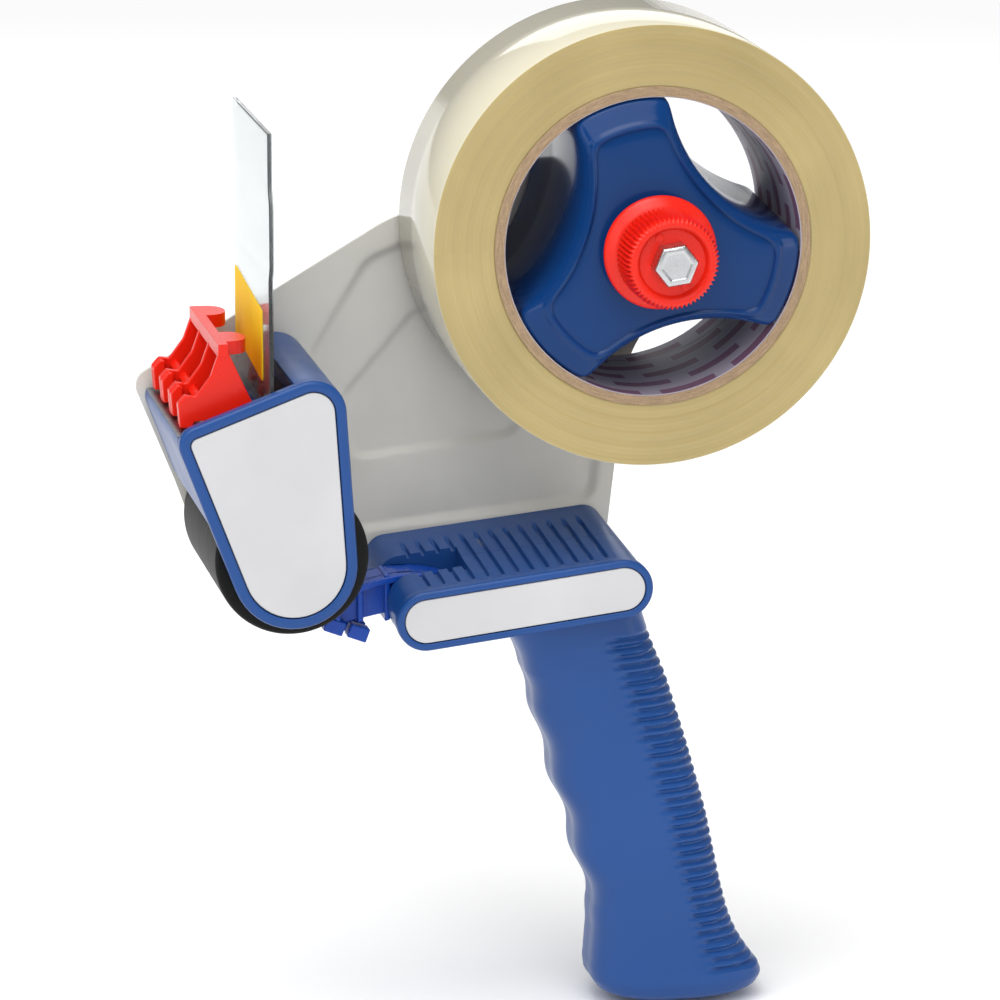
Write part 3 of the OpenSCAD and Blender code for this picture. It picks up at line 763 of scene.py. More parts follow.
def smooth_station(z):
    """The station averaged over a few millimetres, so its kinks round off."""
    reach = 3.2 if z > -44 else 0.5
    sums = [0.0, 0.0, 0.0]
    for k in range(-3, 4):
        part = station(max(FOOT, min(NECK, z + reach * k / 3)))
        sums = [s + p / 7 for s, p in zip(sums, part)]
    return sums


def finger_groove(z):
    """Depth of the finger grooves at a height."""
    low, high, depth, middle, spacing = -34, 36, 1.8, 15.5, 19.5
    if z < low or z > high:
        return 0.0
    fade = min(1, (high - z) / 8, (z - low) / 6)
    return depth * fade * (0.5 + 0.5 * math.cos(TURN * (z - middle) / spacing))


def grip_ring(z, side, count, sizes):
    """Half a section of the grip on one side of the seam, ribs included."""
    front, rear, half = smooth_station(z)
    front += finger_groove(z)
    mid, deep = (front + rear) / 2, (rear - front) / 2
    # Ribs run round the back and taper to points on the sides, every other one short.
    phase = (z + 46) / (sizes.rib_pitch / MM)
    tooth = abs(phase - math.floor(phase) - 0.5) * 2
    valley = smoothstep((0.75 - tooth) / 0.5)
    in_band = smoothstep((z + 47) / 2) * smoothstep((47 - z) / 2)
    reach = 0.2 - 0.0012 * z + (0.025 if math.floor(phase) % 2 else -0.025)
    points = []
    for k in range(count + 1):
        a = math.pi * (0.003 + 0.994 * k / count)
        c, q = math.cos(a), math.sin(a)
        x = mid + deep * math.copysign(abs(c) ** 0.72, c)
        y = side * half * abs(q) ** 0.62
        depth = (sizes.rib_depth / MM) * valley * in_band * smoothstep((c - reach) / 0.1)
        seam = 0.28 * (1 - smoothstep(min(k, count - k) / 2.0))
        out = Vector((c, side * q)).normalized() * (depth + seam)
        y = side * 0.02 if k in (0, count) else y - out.y
        points.append((x - out.x, y, z))
    return points


def stadium(r, steps=22):
    """Slot-shaped outline with round ends between the two rim centres."""
    along = (RIM_B - RIM_A).normalized()
    lean, square = math.atan2(along.y, along.x), math.pi / 2
    far = arc(RIM_B, r, lean - square, math.pi, steps)
    return arc(RIM_A, r, lean + square, math.pi, steps) + far


def housing_ring(y, sizes):
    """Section of the sloping housing at a depth, with its transverse grooves."""
    u = (y - RIM_BACK) / (HOUSING_BACK - RIM_BACK)
    low_a, low_b = RIM_A, RIM_B.lerp(FAR_LOW_B, u)
    top_a, top_b = RIM_A.lerp(FAR_TOP_A, u), RIM_B.lerp(FAR_TOP_B, u)
    r_low, r_top, square = 7.3, 7.3 + (5.4 - 7.3) * u, math.pi / 2
    lean = math.atan2((top_b - top_a).y, (top_b - top_a).x)
    points = arc(low_a, r_low, 3 * square + lean, -square - lean, 10)
    points += arc(top_a, r_top, math.pi, lean - square, 10)
    corner = arc(top_b, r_top, square + lean, -square - lean, 10)
    first, last = Vector(points[-1]), Vector(corner[0])
    span, pitch = (last - first).length, sizes.groove_pitch / MM
    start = (span - pitch * (GROOVES - 1)) / 2
    normal = Vector((-(last - first).y, (last - first).x)).normalized()
    reach = 1.1 * smoothstep((y + 16.5) / 2) * smoothstep((14.5 - y) / 3)
    steps = 260
    for k in range(1, steps):
        s, p = span * k / steps, first.lerp(last, k / steps)
        n = round((s - start) / pitch)
        if 0 <= n < GROOVES:
            near = abs(s - start - n * pitch)
            p -= normal * reach * smoothstep((0.75 - near) / 0.4)
        points.append(tuple(p))
    return at_y(points + corner + arc(low_b, r_low, 0, lean - square, 10), y)


def make_handle(sizes):
    """Two moulded shells that meet on a seam, and the near one's rim and insert."""
    for side, name in ((-1, "near"), (1, "far")):
        bm = bmesh.new()
        heights = [FOOT + (NECK - FOOT) * k / 248 for k in range(249)]
        loft(bm, [grip_ring(z, side, 40, sizes) for z in heights])
        grip = mesh_object("grip_" + name, bm)
        for number, at in enumerate(SHELL_SCREWS if side > 0 else ()):
            bm = bmesh.new()
            turned(bm, [(0, 9.2), (3.2, 9.2), (3.2, 20), (0, 20)], at, 40)
            cut(grip, "counterbore_%d" % number, bm)
        fit(grip, "frame", "body", even=False)

        a, b = (RIM_BACK - 0.5, -0.06) if side < 0 else (0.06, HOUSING_BACK)
        bm = bmesh.new()
        loft(bm, [housing_ring(a + (b - a) * k / 18, sizes) for k in range(19)])
        shell = mesh_object("housing_" + name, bm)
        bm = bmesh.new()
        slot = [(-74, 40), (-74, 78), (-44.2, 78), (-44.2, 60), (-50, 50), (-58, 40)]
        prism(bm, slot, -6.6, 6.6)
        cut(shell, "slot", bm)
        fit(shell, "frame", "body", "handle_%s_shell" % name, even=False)

    bm = bmesh.new()
    y = RIM_NEAR
    rings = (
        ((7.5, RIM_BACK), (7.8, RIM_BACK), (7.8, y + 0.9), (7.6, y + 0.3))
        + ((7.1, y), (6.2, y), (5.9, y + 0.2), (5.9, y + 1.4))
    )
    loft(bm, [at_y(stadium(r), depth) for r, depth in rings])
    piece("handle_rim", bm, "frame", "body")
    bm = bmesh.new()
    prism(bm, stadium(5.62), y + 0.25, y + 1.38)
    piece("handle_insert", bm, "frame", "panel", "handle_panel", round_by=0.25)


# ---- head -----------------------------------------------------------------------

CHEEK_CORNERS = [(-124.1, 110.4, 5), (-81.3, 126.2, 8.5), (-70.9, -30.6, 15.9)]
CHEEK_NEAR, CHEEK_IN = cad("head_housing")[0].y, -35.5
LEDGE = cad("blade")[0].z
WALL = 2.4


def cheek(d):
    """The cheek's outline moved inwards."""
    return rounded(inset(CHEEK_CORNERS, d), 20)


def make_head(sizes):
    """Cheek with its rim, the walls that run back to the plate, and the insert."""
    y, inside = CHEEK_NEAR, CHEEK_IN
    steps = (
        ((0.5, inside), (0.0, inside - 0.5), (0.0, y + 0.9), (0.25, y + 0.35))
        + ((0.8, y), (2.3, y), (2.65, y + 0.25), (2.7, y + 1.4))
    )
    bm = bmesh.new()
    loft(bm, [at_y(cheek(d), depth) for d, depth in steps])
    piece("head_cheek", bm, "frame", "body", "head_housing")

    bm = bmesh.new()
    outer = dense(rounded(CHEEK_CORNERS, 20), 0.8)
    inner = dense(cheek(WALL), 0.8)
    front = strip(outer, inner, lambda p: p[0] < -111 and 86.5 < p[1] < LEDGE)
    rear = strip(outer, inner, lambda p: p[0] > -93.6 and p[1] > 96.5)
    low = LEDGE - 3
    seat = [(-121.2, low), (-121.2, LEDGE), (-108, LEDGE), (-108, low)]
    for wall in (front, rear, seat):
        prism(bm, wall, inside - 0.3, HOUSING_BACK)
    for at, r in zip(HEAD_SCREWS, (3.2, 3.2, 1.9)):
        turned(bm, round_bar(r, inside - 0.3, HOUSING_BACK - 0.05, 0.3), at, 32)
    piece("head_walls", bm, "frame", "body", round_by=sizes.edge / MM)

    bm = bmesh.new()
    prism(bm, cheek(3.0), y + 0.25, y + 1.38)
    piece("head_insert", bm, "frame", "panel", "head_panel", round_by=0.3)


# ---- roller and flap ----------------------------------------------------------------


def make_roller():
    """Rubber cover with softly rounded ends round a spool."""
    low, high = cad("roller_core")
    y0, y1, spool_r = low.y, high.y, (high.x - low.x) / 2
    cover_r = (ROLLER_HIGH.x - ROLLER_LOW.x) / 2
    cover = round_bar(cover_r, ROLLER_LOW.y, ROLLER_HIGH.y, 1.1, spool_r)
    bm = bmesh.new()
    turned(bm, cover, ROLLER_AT, 128)
    piece("roller_cover", bm, "roller", "rubber", "roller_tyre")

    bm = bmesh.new()
    half = [(3.06, y0), (5.2, y0), (5.2, y0 + 6), (8.8, y0 + 6), (8.8, y0)]
    half.append((spool_r - 0.05, y0))
    turned(bm, mirrored(half, y0, y1), ROLLER_AT, 72)
    piece("roller_spool", bm, "roller", "natural", "roller_core", round_by=0.25, segments=2)


def make_flap():
    """Clear sheet with two shallow bends."""
    low, high = cad("wiper_flap")
    near = []
    for k in range(61):
        z = low.z + (high.z - low.z) * k / 60
        bend = 0.28 * smoothstep((z - 147) / 4) - 0.28 * smoothstep((z - 166) / 5)
        near.append((low.x + bend, z))
    thick = high.x - low.x - 0.3
    bm = bmesh.new()
    prism(bm, near + [(x + thick, z) for x, z in reversed(near)], low.y, high.y)
    piece("clear_flap", bm, "flap", "clear", "wiper_flap", round_by=0.3)


# ---- tape guide ---------------------------------------------------------------------

RIB = (
    ((-121.2, 110.4, 0.4), (-121.6, 116.4, 1.2), (-119.6, 118.6, 1), (-117, 118.2, 0.8))
    + ((-113.4, 123, 2), (-111.2, 129, 0.4), (-108.8, 129, 0.4), (-105.4, 121.5, 2))
    + ((-102.2, 114.6, 1.2), (-101.7, 111.5, 1.6), (-104.5, 108.6, 1.6))
    + ((-108, 111.4, 1.5), (-112, 112.2, 1), (-117.6, 111.8, 0.5), (-118.2, 110.3, 0.3))
)
GUIDE_FOOT = (
    ((-121.1, 110.5, 0.3), (-121.5, 116.2, 1), (-119.6, 118.3, 0.6))
    + ((-118.5, 117.9, 0.3), (-118.7, 110.5, 0.3))
)
# Bars that run across all ribs: the back plate, a low fence and a stiffening line
GUIDE_BARS = (
    ((-108.9, 129.1), (-105.5, 121.5), (-102.3, 114.7))
    + ((-103.9, 114), (-107.2, 120.9), (-110.4, 127.6)),
    ((-116.9, 116.4), (-115.5, 118), (-113.9, 116.8), (-115.3, 115.1)),
    ((-108.6, 122.6), (-107.2, 123.2), (-106.9, 122.4), (-108.2, 121.9)),
)
BAR_FRONT, BAR_BACK, LOBE_BACK = -111.4, -108.9, -103.2
BAR_HEIGHT = 3.4


def make_guide(sizes):
    """Ribbed comb: ribs, feet, back plate and bars; the two thumb lobes; its spring."""
    low, high = cad("tape_guide")
    bm = bmesh.new()
    for k in range(4):
        y = low.y + (high.y - low.y - 2) * k / 3
        prism(bm, rounded(RIB, 4), y + 0.08, y + 1.92)
        ends = max(y - 2.2, low.y + 0.12), min(y + 4.2, high.y - 0.12)
        prism(bm, rounded(GUIDE_FOOT, 3), *ends)
    for bar in GUIDE_BARS:
        prism(bm, bar, low.y + 0.1, high.y - 0.1)
    piece("guide_comb", bm, "guide", "red", "tape_guide", round_by=0.32, segments=2)

    # Top bar and lobes seen from above: a straight edge with two round lobes.
    r = sizes.lobe_width / MM / 2
    line = [(BAR_FRONT, low.y), (BAR_FRONT, high.y), (BAR_BACK, high.y)]
    for centre in (high.y - r - 0.2, low.y + r + 3.5):
        for k in range(25):
            a = math.pi * k / 24
            x = BAR_BACK + (LOBE_BACK - BAR_BACK) * math.sin(a) ** 0.7
            line.append((x, centre + r * math.cos(a)))
    line.append((BAR_BACK, low.y))
    bm = bmesh.new()
    base = high.z - BAR_HEIGHT
    verts = [bm.verts.new(Vector((x, y, base)) * MM) for x, y in line]
    pull(bm, [bm.faces.new(verts)], (0, 0, BAR_HEIGHT))
    piece("guide_thumb_bar", bm, "guide", "red", round_by=0.5)

    low, high = cad("guide_spring")
    wire = 0.45
    bm = bmesh.new()
    coil(bm, (-104.5, 111.5), 2.3, low.y + wire, high.y - wire, 4, wire)
    node = "guide_spring"
    piece("guide_torsion_spring", bm, "frame", "yellow_zinc", node, even=False)


# ---- brake lever ----------------------------------------------------------------------

LEVER_TOP = (
    ((-46.8, 61.0), (-50, 62.4), (-54, 63.2), (-58, 63.6), (-62, 63.6))
    + ((-68, 62.6), (-73, 61), (-77, 58.9), (-79.4, 57), (-81.6, 52.4))
)
LEVER_LOW = ((-80.4, 50.6), (-75, 51.2), (-68, 52.6), (-60, 54), (-50.4, 53.4), (-47.4, 57))
LEVER_HUB = (
    ((-60, 54.2), (-60, 63), (-53, 62.6), (-47.6, 60.4), (-47.8, 57.4), (-50.6, 53.8))
)


def make_lever():
    """Thin-walled moulding: curved top skin, two side walls, cross ribs and feet."""
    low, high = cad("brake_lever")
    a, b = low.y, high.y
    skin = LEVER_TOP + tuple((x + 0.4, z - 1.7) for x, z in reversed(LEVER_TOP))
    bm = bmesh.new()
    prism(bm, skin, a, b)
    for y0, y1 in ((a + 2.6, a + 4.2), (b - 1.6, b - 0.08)):
        prism(bm, LEVER_TOP + LEVER_LOW, y0, y1)
    for x, top in ((-77.5, 57.6), (-71.5, 60.6), (-64.5, 63.6)):
        rib = [(x - 0.7, 51.4), (x - 0.7, top), (x + 0.7, top), (x + 0.7, 51.8)]
        prism(bm, rib, a + 0.5, b - 0.5)
    prism(bm, LEVER_HUB, a + 0.16, b - 0.16)
    for x, z in ((-81.4, 49.9), (-75.2, 47.9)):
        foot = [(x, z), (x + 1.4, z + 3.2), (x + 6.2, z + 1.6), (x + 4.9, z - 1.9)]
        prism(bm, foot, a + 0.24, a + 5.0)
        prism(bm, foot, b - 5.0, b - 0.24)
    name = "brake_lever"
    piece(name + "_moulding", bm, "lever", "lever", name, round_by=0.35, segments=2)


# ---- hub -----------------------------------------------------------------------------

HUB_R, WAIST_R, HUB_TURN = 37.9, 21.0, math.radians(103.5)
TIP_HALF = math.radians(19.5)
THIRD = math.pi / 3
# The hollow side's circle passes through the end of the tip and the narrowest place.
TIP_X, TIP_Z = HUB_R * math.cos(THIRD - TIP_HALF), HUB_R * math.sin(THIRD - TIP_HALF)
BITE_AT = (TIP_X**2 + TIP_Z**2 - WAIST_R**2) / (2 * (TIP_X - WAIST_R))
BITE_R = BITE_AT - WAIST_R


def arms(tip_in, side_in, soft):
    """Outline of the three arms, tips and hollow sides moved inwards, corners soft."""
    a, b = HUB_R - tip_in, BITE_R + side_in
    swing = math.acos((a * a + BITE_AT**2 - b * b) / (2 * a * BITE_AT))
    tip = THIRD - swing
    open_half = math.atan2(a * math.sin(swing), BITE_AT - a * math.cos(swing))
    points = []
    for k in range(3):
        arm = HUB_TURN + TURN * k / 3
        points += arc(Vector((0, 0)), a, arm - tip, 2 * tip, 24)[:-1]
        bite = arm + THIRD
        centre = Vector((BITE_AT * math.cos(bite), BITE_AT * math.sin(bite)))
        points += arc(centre, b, bite + math.pi + open_half, -2 * open_half, 40)[:-1]
    return [(ROLL_AT[0] + x, ROLL_AT[1] + z) for x, z in soften(points, soft)]


def make_hub(sizes):
    """Deep three-armed shell: bevelled band, raised bead and a softly crowned face."""
    low, high = cad("hub")
    y, back = low.y, high.y
    bead = sizes.bead_height / MM
    # Inset of the tips, inset of the hollow sides, depth, softness of the corners
    steps = (
        ((4.6, 2.6, y + 8.0, 8), (2.2, 2.2, y + 9.0, 6), (2.2, -0.8, back, 5))
        + ((0.4, -2.8, back, 5), (0.0, -3.0, back - 0.4, 5), (0.0, -0.4, y + 8.0, 5))
        + ((0.0, 0.1, y + 5.0, 5), (0.15, 0.25, y + 4.3, 5), (0.7, 0.45, y + 3.7, 6))
        + ((1.6, 0.7, y + 3.2, 6), (3.4, 1.1, y + 2.2, 7), (4.6, 1.5, y + 1.6, 8))
        + ((5.1, 1.8, y + 1.25, 8), (5.6, 2.1, y + 1.1 - bead * 0.8, 9))
        + ((6.2, 2.5, y + 0.9 - bead, 9), (6.8, 2.9, y + 0.85 - bead * 0.8, 10))
        + ((7.3, 3.4, y + 0.95, 10), (8.4, 4.4, y + 0.75, 12), (10.5, 6.0, y + 0.6, 14))
    )
    bm = bmesh.new()
    loft(bm, [at_y(arms(t, d, soft), depth) for t, d, depth, soft in steps])
    piece("hub_shell", bm, "roll", "hub", "hub", even=False)

    floor = cad("hub_bush")[0].y
    tube = [(10.2, y + 0.9), (10.2, back - 0.2), (9.8, back), (5.0, back)]
    tube += [(5.0, floor), (8.2, floor), (8.2, y + 0.9)]
    bm = bmesh.new()
    turned(bm, tube, ROLL_AT, 72)
    piece("hub_boss", bm, "roll", "hub", even=False)


# ---- knob and spindle -----------------------------------------------------------------


def knob_ring(r, y, count, depth):
    """Ring of the knurl: rounded teeth of a given depth."""
    points = []
    per = 8
    for i in range(count * per):
        a = TURN * i / (count * per)
        reach = r - depth * (0.5 - 0.5 * math.cos(TURN * i / per)) ** 0.7
        points.append((ROLL_AT[0] + reach * math.cos(a), ROLL_AT[1] + reach * math.sin(a)))
    return at_y(points, y)


def hexagon(across, y, turn=0.0):
    """Ring of a hexagon round the roll's axis, by its width across flats."""
    centre = Vector(ROLL_AT)
    return at_y(arc(centre, across / math.sqrt(3), turn, TURN, 6)[:-1], y)


def make_knob(sizes):
    """Knurled knob with a flange and a dished face, and the spindle's bolt in it."""
    low, high = cad("tension_knob")
    front, flange_r = low.y, (high.x - low.x) / 2
    r, ring, flange = 12.0, high.y - 7.0, high.y - 3.7
    profile = [(3.0, flange), (flange_r - 0.8, flange), (flange_r - 0.1, flange - 0.6)]
    profile += [(flange_r, flange - 1.3), (flange_r - 0.5, flange - 2.0)]
    profile += [(flange_r - 1.7, ring + 0.55), (r + 0.4, ring + 0.15)]
    profile += [(r - 0.4, ring - 0.4), (3.0, ring - 0.4)]
    bm = bmesh.new()
    turned(bm, profile, ROLL_AT, 96)
    piece("knob_flange", bm, "knob", "red", "tension_knob", even=False)

    # Inset, depth and height of the knurls of each ring
    rings = (
        ((0.9, ring + 0.2, 0.0), (0.2, ring - 0.5, 0.5), (0.0, ring - 1.2, 0.95))
        + ((0.0, front + 2.2, 0.95), (0.25, front + 1.2, 0.8), (0.9, front + 0.45, 0.35))
        + ((1.7, front, 0.0), (2.5, front, 0.0), (3.1, front + 0.35, 0.0))
        + ((3.4, front + 1.3, 0.0), (3.7, front + 1.75, 0.0))
    )
    bm = bmesh.new()
    loft(bm, [knob_ring(r - d, y, sizes.knurls, depth) for d, y, depth in rings])
    piece("knob_grip", bm, "knob", "red", even=False)

    # Two round ejector marks on the dished face
    bm = bmesh.new()
    for a in (math.radians(118), math.radians(298)):
        at = (ROLL_AT[0] + 7.1 * math.cos(a), ROLL_AT[1] + 7.1 * math.sin(a))
        turned(bm, round_bar(1.15, front + 1.45, front + 2.2, 0.2), at, 32)
    piece("knob_ejector_marks", bm, "knob", "red", even=False)

    # Bolt: hexagon head with chamfered corners and a shallow dish, and its shank
    low, high = cad("spindle_bolt")
    seat, tip = front + 1.75, low.y
    rings = ((10, seat), (10, tip + 0.9), (9.3, tip + 0.25), (8.4, tip), (6.9, tip))
    rings += ((6.4, tip + 0.25),)
    bm = bmesh.new()
    loft(bm, [hexagon(across, y, math.radians(8)) for across, y in rings])
    name = "spindle_bolt"
    piece(name + "_head", bm, "knob", "zinc", name, round_by=0.22, segments=2)
    thread = high.y - 12
    shank = [(0.0, seat - 0.3), (2.95, seat - 0.3), (2.95, thread)]
    while thread < high.y - 1.2:
        shank += [(2.5, thread + 0.25), (2.5, thread + 0.4), (3.0, thread + 0.9)]
        thread += 1.0
    shank += [(2.4, high.y), (0.0, high.y)]
    bm = bmesh.new()
    turned(bm, shank, ROLL_AT, 48)
    piece("spindle_bolt_shank", bm, "knob", "zinc", even=False)


def make_nut():
    """Locking nut with a nylon collar, and its washer, behind the plate."""
    low, high = cad("spindle_nut")
    rings = ((9.6, low.y), (10, low.y + 0.4), (10, high.y - 1.5), (9.2, high.y - 1.1))
    bm = bmesh.new()
    loft(bm, [hexagon(across, y) for across, y in rings])
    nut = mesh_object("spindle_lock_nut", bm, 0.2, 2)
    bm = bmesh.new()
    turned(bm, round_bar(3.15, low.y - 1, high.y + 1, 0.2), ROLL_AT, 48)
    cut(nut, "nut_bore", bm)
    fit(nut, "frame", "zinc", "spindle_nut")
    bm = bmesh.new()
    turned(bm, round_bar(4.6, high.y - 1.6, high.y, 0.4, 3.12), ROLL_AT, 48)
    piece("spindle_nut_collar", bm, "frame", "natural")
    low, high = cad("spindle_washer")
    bm = bmesh.new()
    turned(bm, round_bar(8, low.y, high.y, 0.25, 3.1), ROLL_AT, 64)
    piece("spindle_flat_washer", bm, "frame", "zinc", "spindle_washer")


# ---- roll and fasteners -----------------------------------------------------------------


def make_roll():
    """Wound tape, its board core and the core's lining."""
    low, high = cad("tape_core")
    liner_low, liner_high = cad("core_liner")
    core_r, liner_r = (high.x - low.x) / 2, (liner_high.x - liner_low.x) / 2
    outer = (ROLL_HIGH.x - ROLL_LOW.x) / 2
    y0, y1 = ROLL_LOW.y, ROLL_HIGH.y
    half = [(core_r, y0 + 0.25)]
    # The winding's faces dip and rise a little from turn to turn.
    for k in range(1, 40):
        r = core_r + (outer - core_r - 0.5) * k / 39
        half.append((r, y0 + 0.1 + 0.07 * math.sin(r * 1.9) + 0.05 * math.sin(r * 5.3)))
    half += [(outer - 0.15, y0 + 0.12), (outer, y0 + 0.35)]
    bm = bmesh.new()
    turned(bm, mirrored(half, y0, y1), ROLL_AT, 160)
    piece("tape_winding_turns", bm, "roll", "tape", "tape_winding", even=False)
    bm = bmesh.new()
    turned(bm, round_bar(core_r, low.y, high.y, 0.3, liner_r), ROLL_AT, 160)
    piece("tape_core_board", bm, "roll", "board", "tape_core")
    dress("liner", "core_liner")


def screw_set(name, places, node, r=3.0):
    """Pan-head screws with a cross recess."""
    low, high = cad(node)
    seat, top = high.y - 1.8, high.y
    profile = [(0.0, low.y), (1.2, low.y), (1.2, seat), (r, seat), (r, seat + 0.5)]
    for k in range(1, 6):
        a = math.pi / 2 * k / 6
        profile.append((r * math.cos(a) ** 0.8, seat + 0.5 + 1.3 * math.sin(a)))
    profile.append((0.0, top))
    a, b = 0.4, 1.7
    cross = [(a, a), (b, a), (b, -a), (a, -a), (a, -b), (-a, -b)]
    cross += [(-x, -z) for x, z in cross]
    bm, recess = bmesh.new(), bmesh.new()
    for at in places:
        turned(bm, profile, at, 40)
        prism(recess, [(at[0] + x, at[1] + z) for x, z in cross], top - 0.9, top + 1)
    screws = mesh_object(name, bm)
    cut(screws, "recess", recess)
    fit(screws, "frame", "zinc", node)


def make_fasteners():
    """Screws; and pins, washers and springs that the frame carries over."""
    screw_set("head_screw_set", HEAD_SCREWS, "head_screws")
    screw_set("handle_screw_set", HANDLE_SCREWS, "handle_screws")
    screw_set("shell_screw_set", SHELL_SCREWS, "shell_screws", 2.9)
    dress("zinc", "blade_screws", "roller_axle", "flap_pin", "guide_pin", "lever_pin")
    dress("zinc", "flap_rivets", "thrust_washer")
    dress("blade", "blade")
    dress("natural", "roller_washers")
    dress("spring", "axle_clip", "lever_spring", "tension_spring")
    dress("yellow_zinc", "flap_spring")
    dress("bronze", "hub_bush")
    dress("fibre", "friction_washer")
    dress("body", "flap_holder")
    dress("sticker", "flap_label")


# ---- stage -----------------------------------------------------------------------------

MIDDLE = Vector((-0.03, 0, 0.08))
# Name, place, size in metres and power in watts
SOFTBOXES = (
    ("top_box", (-0.25, -0.1, 1.15), (0.8, 0.5), 3.5),
    ("left_box", (-1.25, -0.75, 0.55), (0.4, 0.9), 2.6),
    ("front_box", (0.25, -1.55, 0.75), (0.7, 0.4), 2.5),
    ("right_box", (1.2, -0.5, 0.35), (0.3, 0.8), 1.5),
    ("back_box", (0.3, 1.3, 0.7), (0.9, 0.6), 2),
)


def make_stage():
    """Pale floor, soft lights and the camera."""
    bm = bmesh.new()
    bmesh.ops.create_grid(bm, x_segments=2, y_segments=2, size=12)
    bmesh.ops.translate(bm, verts=bm.verts, vec=(0, 0, CAD_BOX[0][2] - 0.002))
    floor = mesh_object("floor", bm)
    paper = finished(new_material("studio paper")[0], linear("#FCFCFC"), 0.9)
    floor.data.materials.append(paper)

    for name, at, size, power in SOFTBOXES:
        data = bpy.data.lights.new(name, "AREA")
        data.shape = "RECTANGLE"
        data.size, data.size_y = size
        data.energy = power
        lamp = new_object(name, data)
        lamp.location = at
        lamp.rotation_mode = "QUATERNION"
        lamp.rotation_quaternion = (MIDDLE - Vector(at)).to_track_quat("-Z", "Y")
    data = bpy.data.lights.new("skylight", "SUN")
    data.energy = 1.8
    data.angle = math.radians(60)
    sun = new_object("skylight", data)
    sun.location = (0, 0, 2)
    sun.rotation_euler = (math.radians(32), 0, math.radians(-25))

    world = bpy.data.worlds.new("studio")
    world.use_nodes = True
    tree = world.node_tree
    tree.nodes.clear()
    rays = add(tree, "LightPath").outputs
    seen = {"Value": rays["Is Camera Ray"]}
    seen = add(tree, "MapRange", {"To Min": 0.5, "To Max": 0.95}, seen)
    shine = {"Value": rays["Is Glossy Ray"]}
    shine = add(tree, "MapRange", {"To Min": 1.0, "To Max": 0.5}, shine)
    power = add(tree, "Math", {"operation": "MULTIPLY"}, {0: seen, 1: shine})
    sky = add(tree, "Background", {"Color": linear("#FFFFFF")}, {"Strength": power})
    add(tree, "OutputWorld", None, {"Surface": sky})
    bpy.context.scene.world = world
    bpy.context.scene.view_settings.view_transform = "Standard"

    data = bpy.data.cameras.new("camera")
    data.sensor_width = 36
    data.lens = 208.03
    data.clip_start, data.clip_end = 0.05, 60
    camera = new_object("camera", data)
    camera.location = (-0.32066, -1.41849, 0.42972)
    camera.rotation_euler = (math.pi / 2 - 0.236618, 0, -0.199417)
    bpy.context.scene.camera = camera


# ---- operators, panel and registration ---------------------------------------------------


class DISPENSER_OT_finishes(bpy.types.Operator):
    """Makes every material."""

    bl_idname = "dispenser.finishes"
    bl_label = "Finishes"

    def execute(self, context):
        make_materials(context.scene.dispenser_colours)
        return {"FINISHED"}


class DISPENSER_OT_plate(bpy.types.Operator):
    """Builds the steel plate."""

    bl_idname = "dispenser.plate"
    bl_label = "Side plate"

    def execute(self, context):
        make_plate()
        return {"FINISHED"}


class DISPENSER_OT_handle(bpy.types.Operator):
    """Builds the handle shells."""

    bl_idname = "dispenser.handle"
    bl_label = "Handle"

    def execute(self, context):
        make_handle(context.scene.dispenser_sizes)
        return {"FINISHED"}


class DISPENSER_OT_head(bpy.types.Operator):
    """Builds the head."""

    bl_idname = "dispenser.head"
    bl_label = "Head"

    def execute(self, context):
        make_head(context.scene.dispenser_sizes)
        return {"FINISHED"}


class DISPENSER_OT_roller(bpy.types.Operator):
    """Builds the press roller."""

    bl_idname = "dispenser.roller"
    bl_label = "Roller"

    def execute(self, context):
        make_roller()
        return {"FINISHED"}


class DISPENSER_OT_flap(bpy.types.Operator):
    """Builds the clear flap."""

    bl_idname = "dispenser.flap"
    bl_label = "Flap"

    def execute(self, context):
        make_flap()
        return {"FINISHED"}


class DISPENSER_OT_guide(bpy.types.Operator):
    """Builds the tape guide."""

    bl_idname = "dispenser.guide"
    bl_label = "Tape guide"

    def execute(self, context):
        make_guide(context.scene.dispenser_sizes)
        return {"FINISHED"}


class DISPENSER_OT_lever(bpy.types.Operator):
    """Builds the brake lever."""

    bl_idname = "dispenser.lever"
    bl_label = "Brake lever"

    def execute(self, context):
        make_lever()
        return {"FINISHED"}


class DISPENSER_OT_hub(bpy.types.Operator):
    """Builds the three-armed hub."""

    bl_idname = "dispenser.hub"
    bl_label = "Hub"

    def execute(self, context):
        make_hub(context.scene.dispenser_sizes)
        return {"FINISHED"}


class DISPENSER_OT_knob(bpy.types.Operator):
    """Builds the knob and spindle."""

    bl_idname = "dispenser.knob"
    bl_label = "Knob"

    def execute(self, context):
        make_knob(context.scene.dispenser_sizes)
        return {"FINISHED"}


class DISPENSER_OT_nut(bpy.types.Operator):
    """Builds the spindle's nut."""

    bl_idname = "dispenser.nut"
    bl_label = "Nut"

    def execute(self, context):
        make_nut()
        return {"FINISHED"}


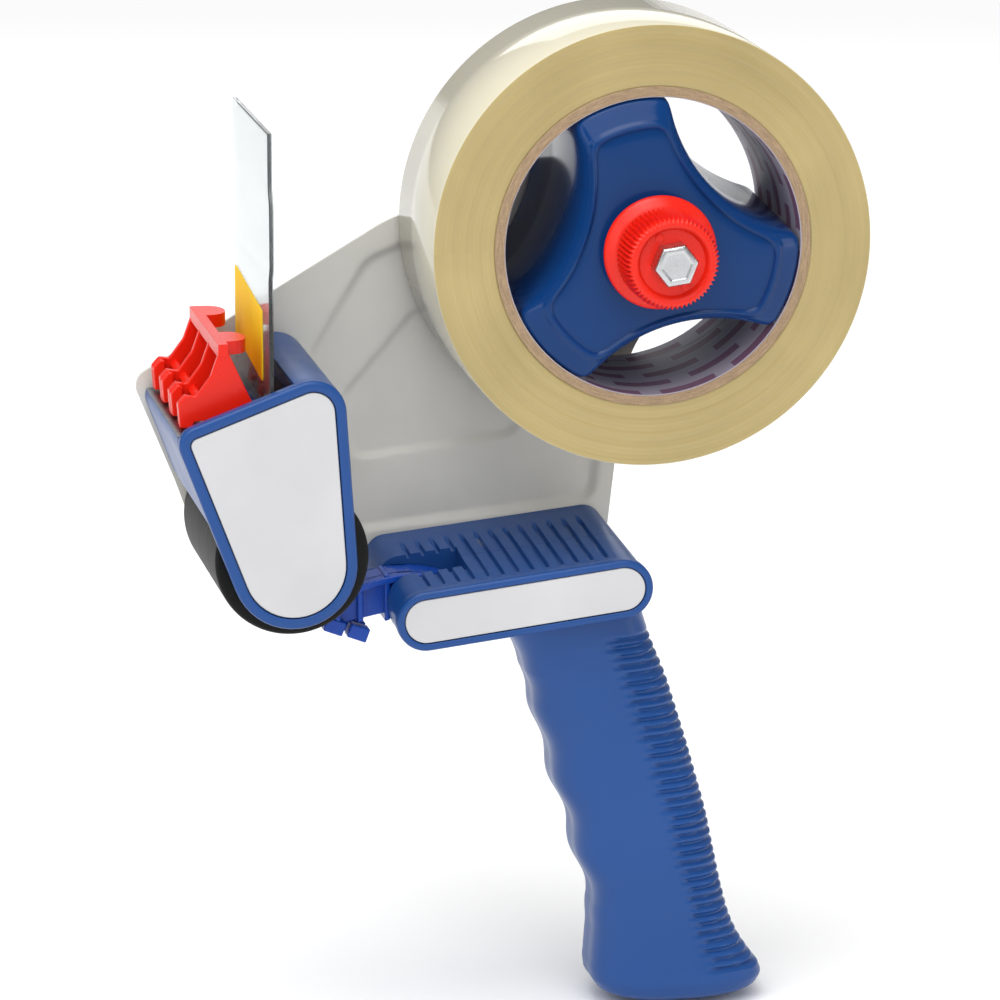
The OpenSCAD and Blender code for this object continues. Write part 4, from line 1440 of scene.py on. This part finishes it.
class DISPENSER_OT_roll(bpy.types.Operator):
    """Builds the tape roll."""

    bl_idname = "dispenser.roll"
    bl_label = "Roll"

    def execute(self, context):
        make_roll()
        return {"FINISHED"}


class DISPENSER_OT_fasteners(bpy.types.Operator):
    """Builds the screws and dresses small parts."""

    bl_idname = "dispenser.fasteners"
    bl_label = "Fasteners"

    def execute(self, context):
        make_fasteners()
        return {"FINISHED"}


class DISPENSER_OT_stage(bpy.types.Operator):
    """Sets floor, lights and camera."""

    bl_idname = "dispenser.stage"
    bl_label = "Stage"

    def execute(self, context):
        make_stage()
        return {"FINISHED"}


OPERATORS = [
    DISPENSER_OT_finishes,
    DISPENSER_OT_plate,
    DISPENSER_OT_handle,
    DISPENSER_OT_head,
    DISPENSER_OT_roller,
    DISPENSER_OT_flap,
    DISPENSER_OT_guide,
    DISPENSER_OT_lever,
    DISPENSER_OT_hub,
    DISPENSER_OT_knob,
    DISPENSER_OT_nut,
    DISPENSER_OT_roll,
    DISPENSER_OT_fasteners,
    DISPENSER_OT_stage,
]


class DISPENSER_PT_panel(bpy.types.Panel):
    """Lists the operators in the sidebar."""

    bl_label = "Dispenser"
    bl_space_type = "VIEW_3D"
    bl_region_type = "UI"
    bl_category = "Dispenser"

    def draw(self, context):
        for kind in OPERATORS:
            self.layout.operator(kind.bl_idname)


CLASSES = [DispenserColours, DispenserSizes, *OPERATORS, DISPENSER_PT_panel]


def register():
    """Registers the classes and the settings kept with the scene."""
    for kind in CLASSES:
        bpy.utils.register_class(kind)
    bpy.types.Scene.dispenser_colours = PointerProperty(type=DispenserColours)
    bpy.types.Scene.dispenser_sizes = PointerProperty(type=DispenserSizes)


def unregister():
    """Takes the settings and the classes away again."""
    del bpy.types.Scene.dispenser_sizes
    del bpy.types.Scene.dispenser_colours
    for kind in reversed(CLASSES):
        bpy.utils.unregister_class(kind)


def main():
    """Builds everything in order."""
    register()
    for kind in OPERATORS:
        group, name = kind.bl_idname.split(".")
        getattr(getattr(bpy.ops, group), name)()


if __name__ == "__main__":
    main()
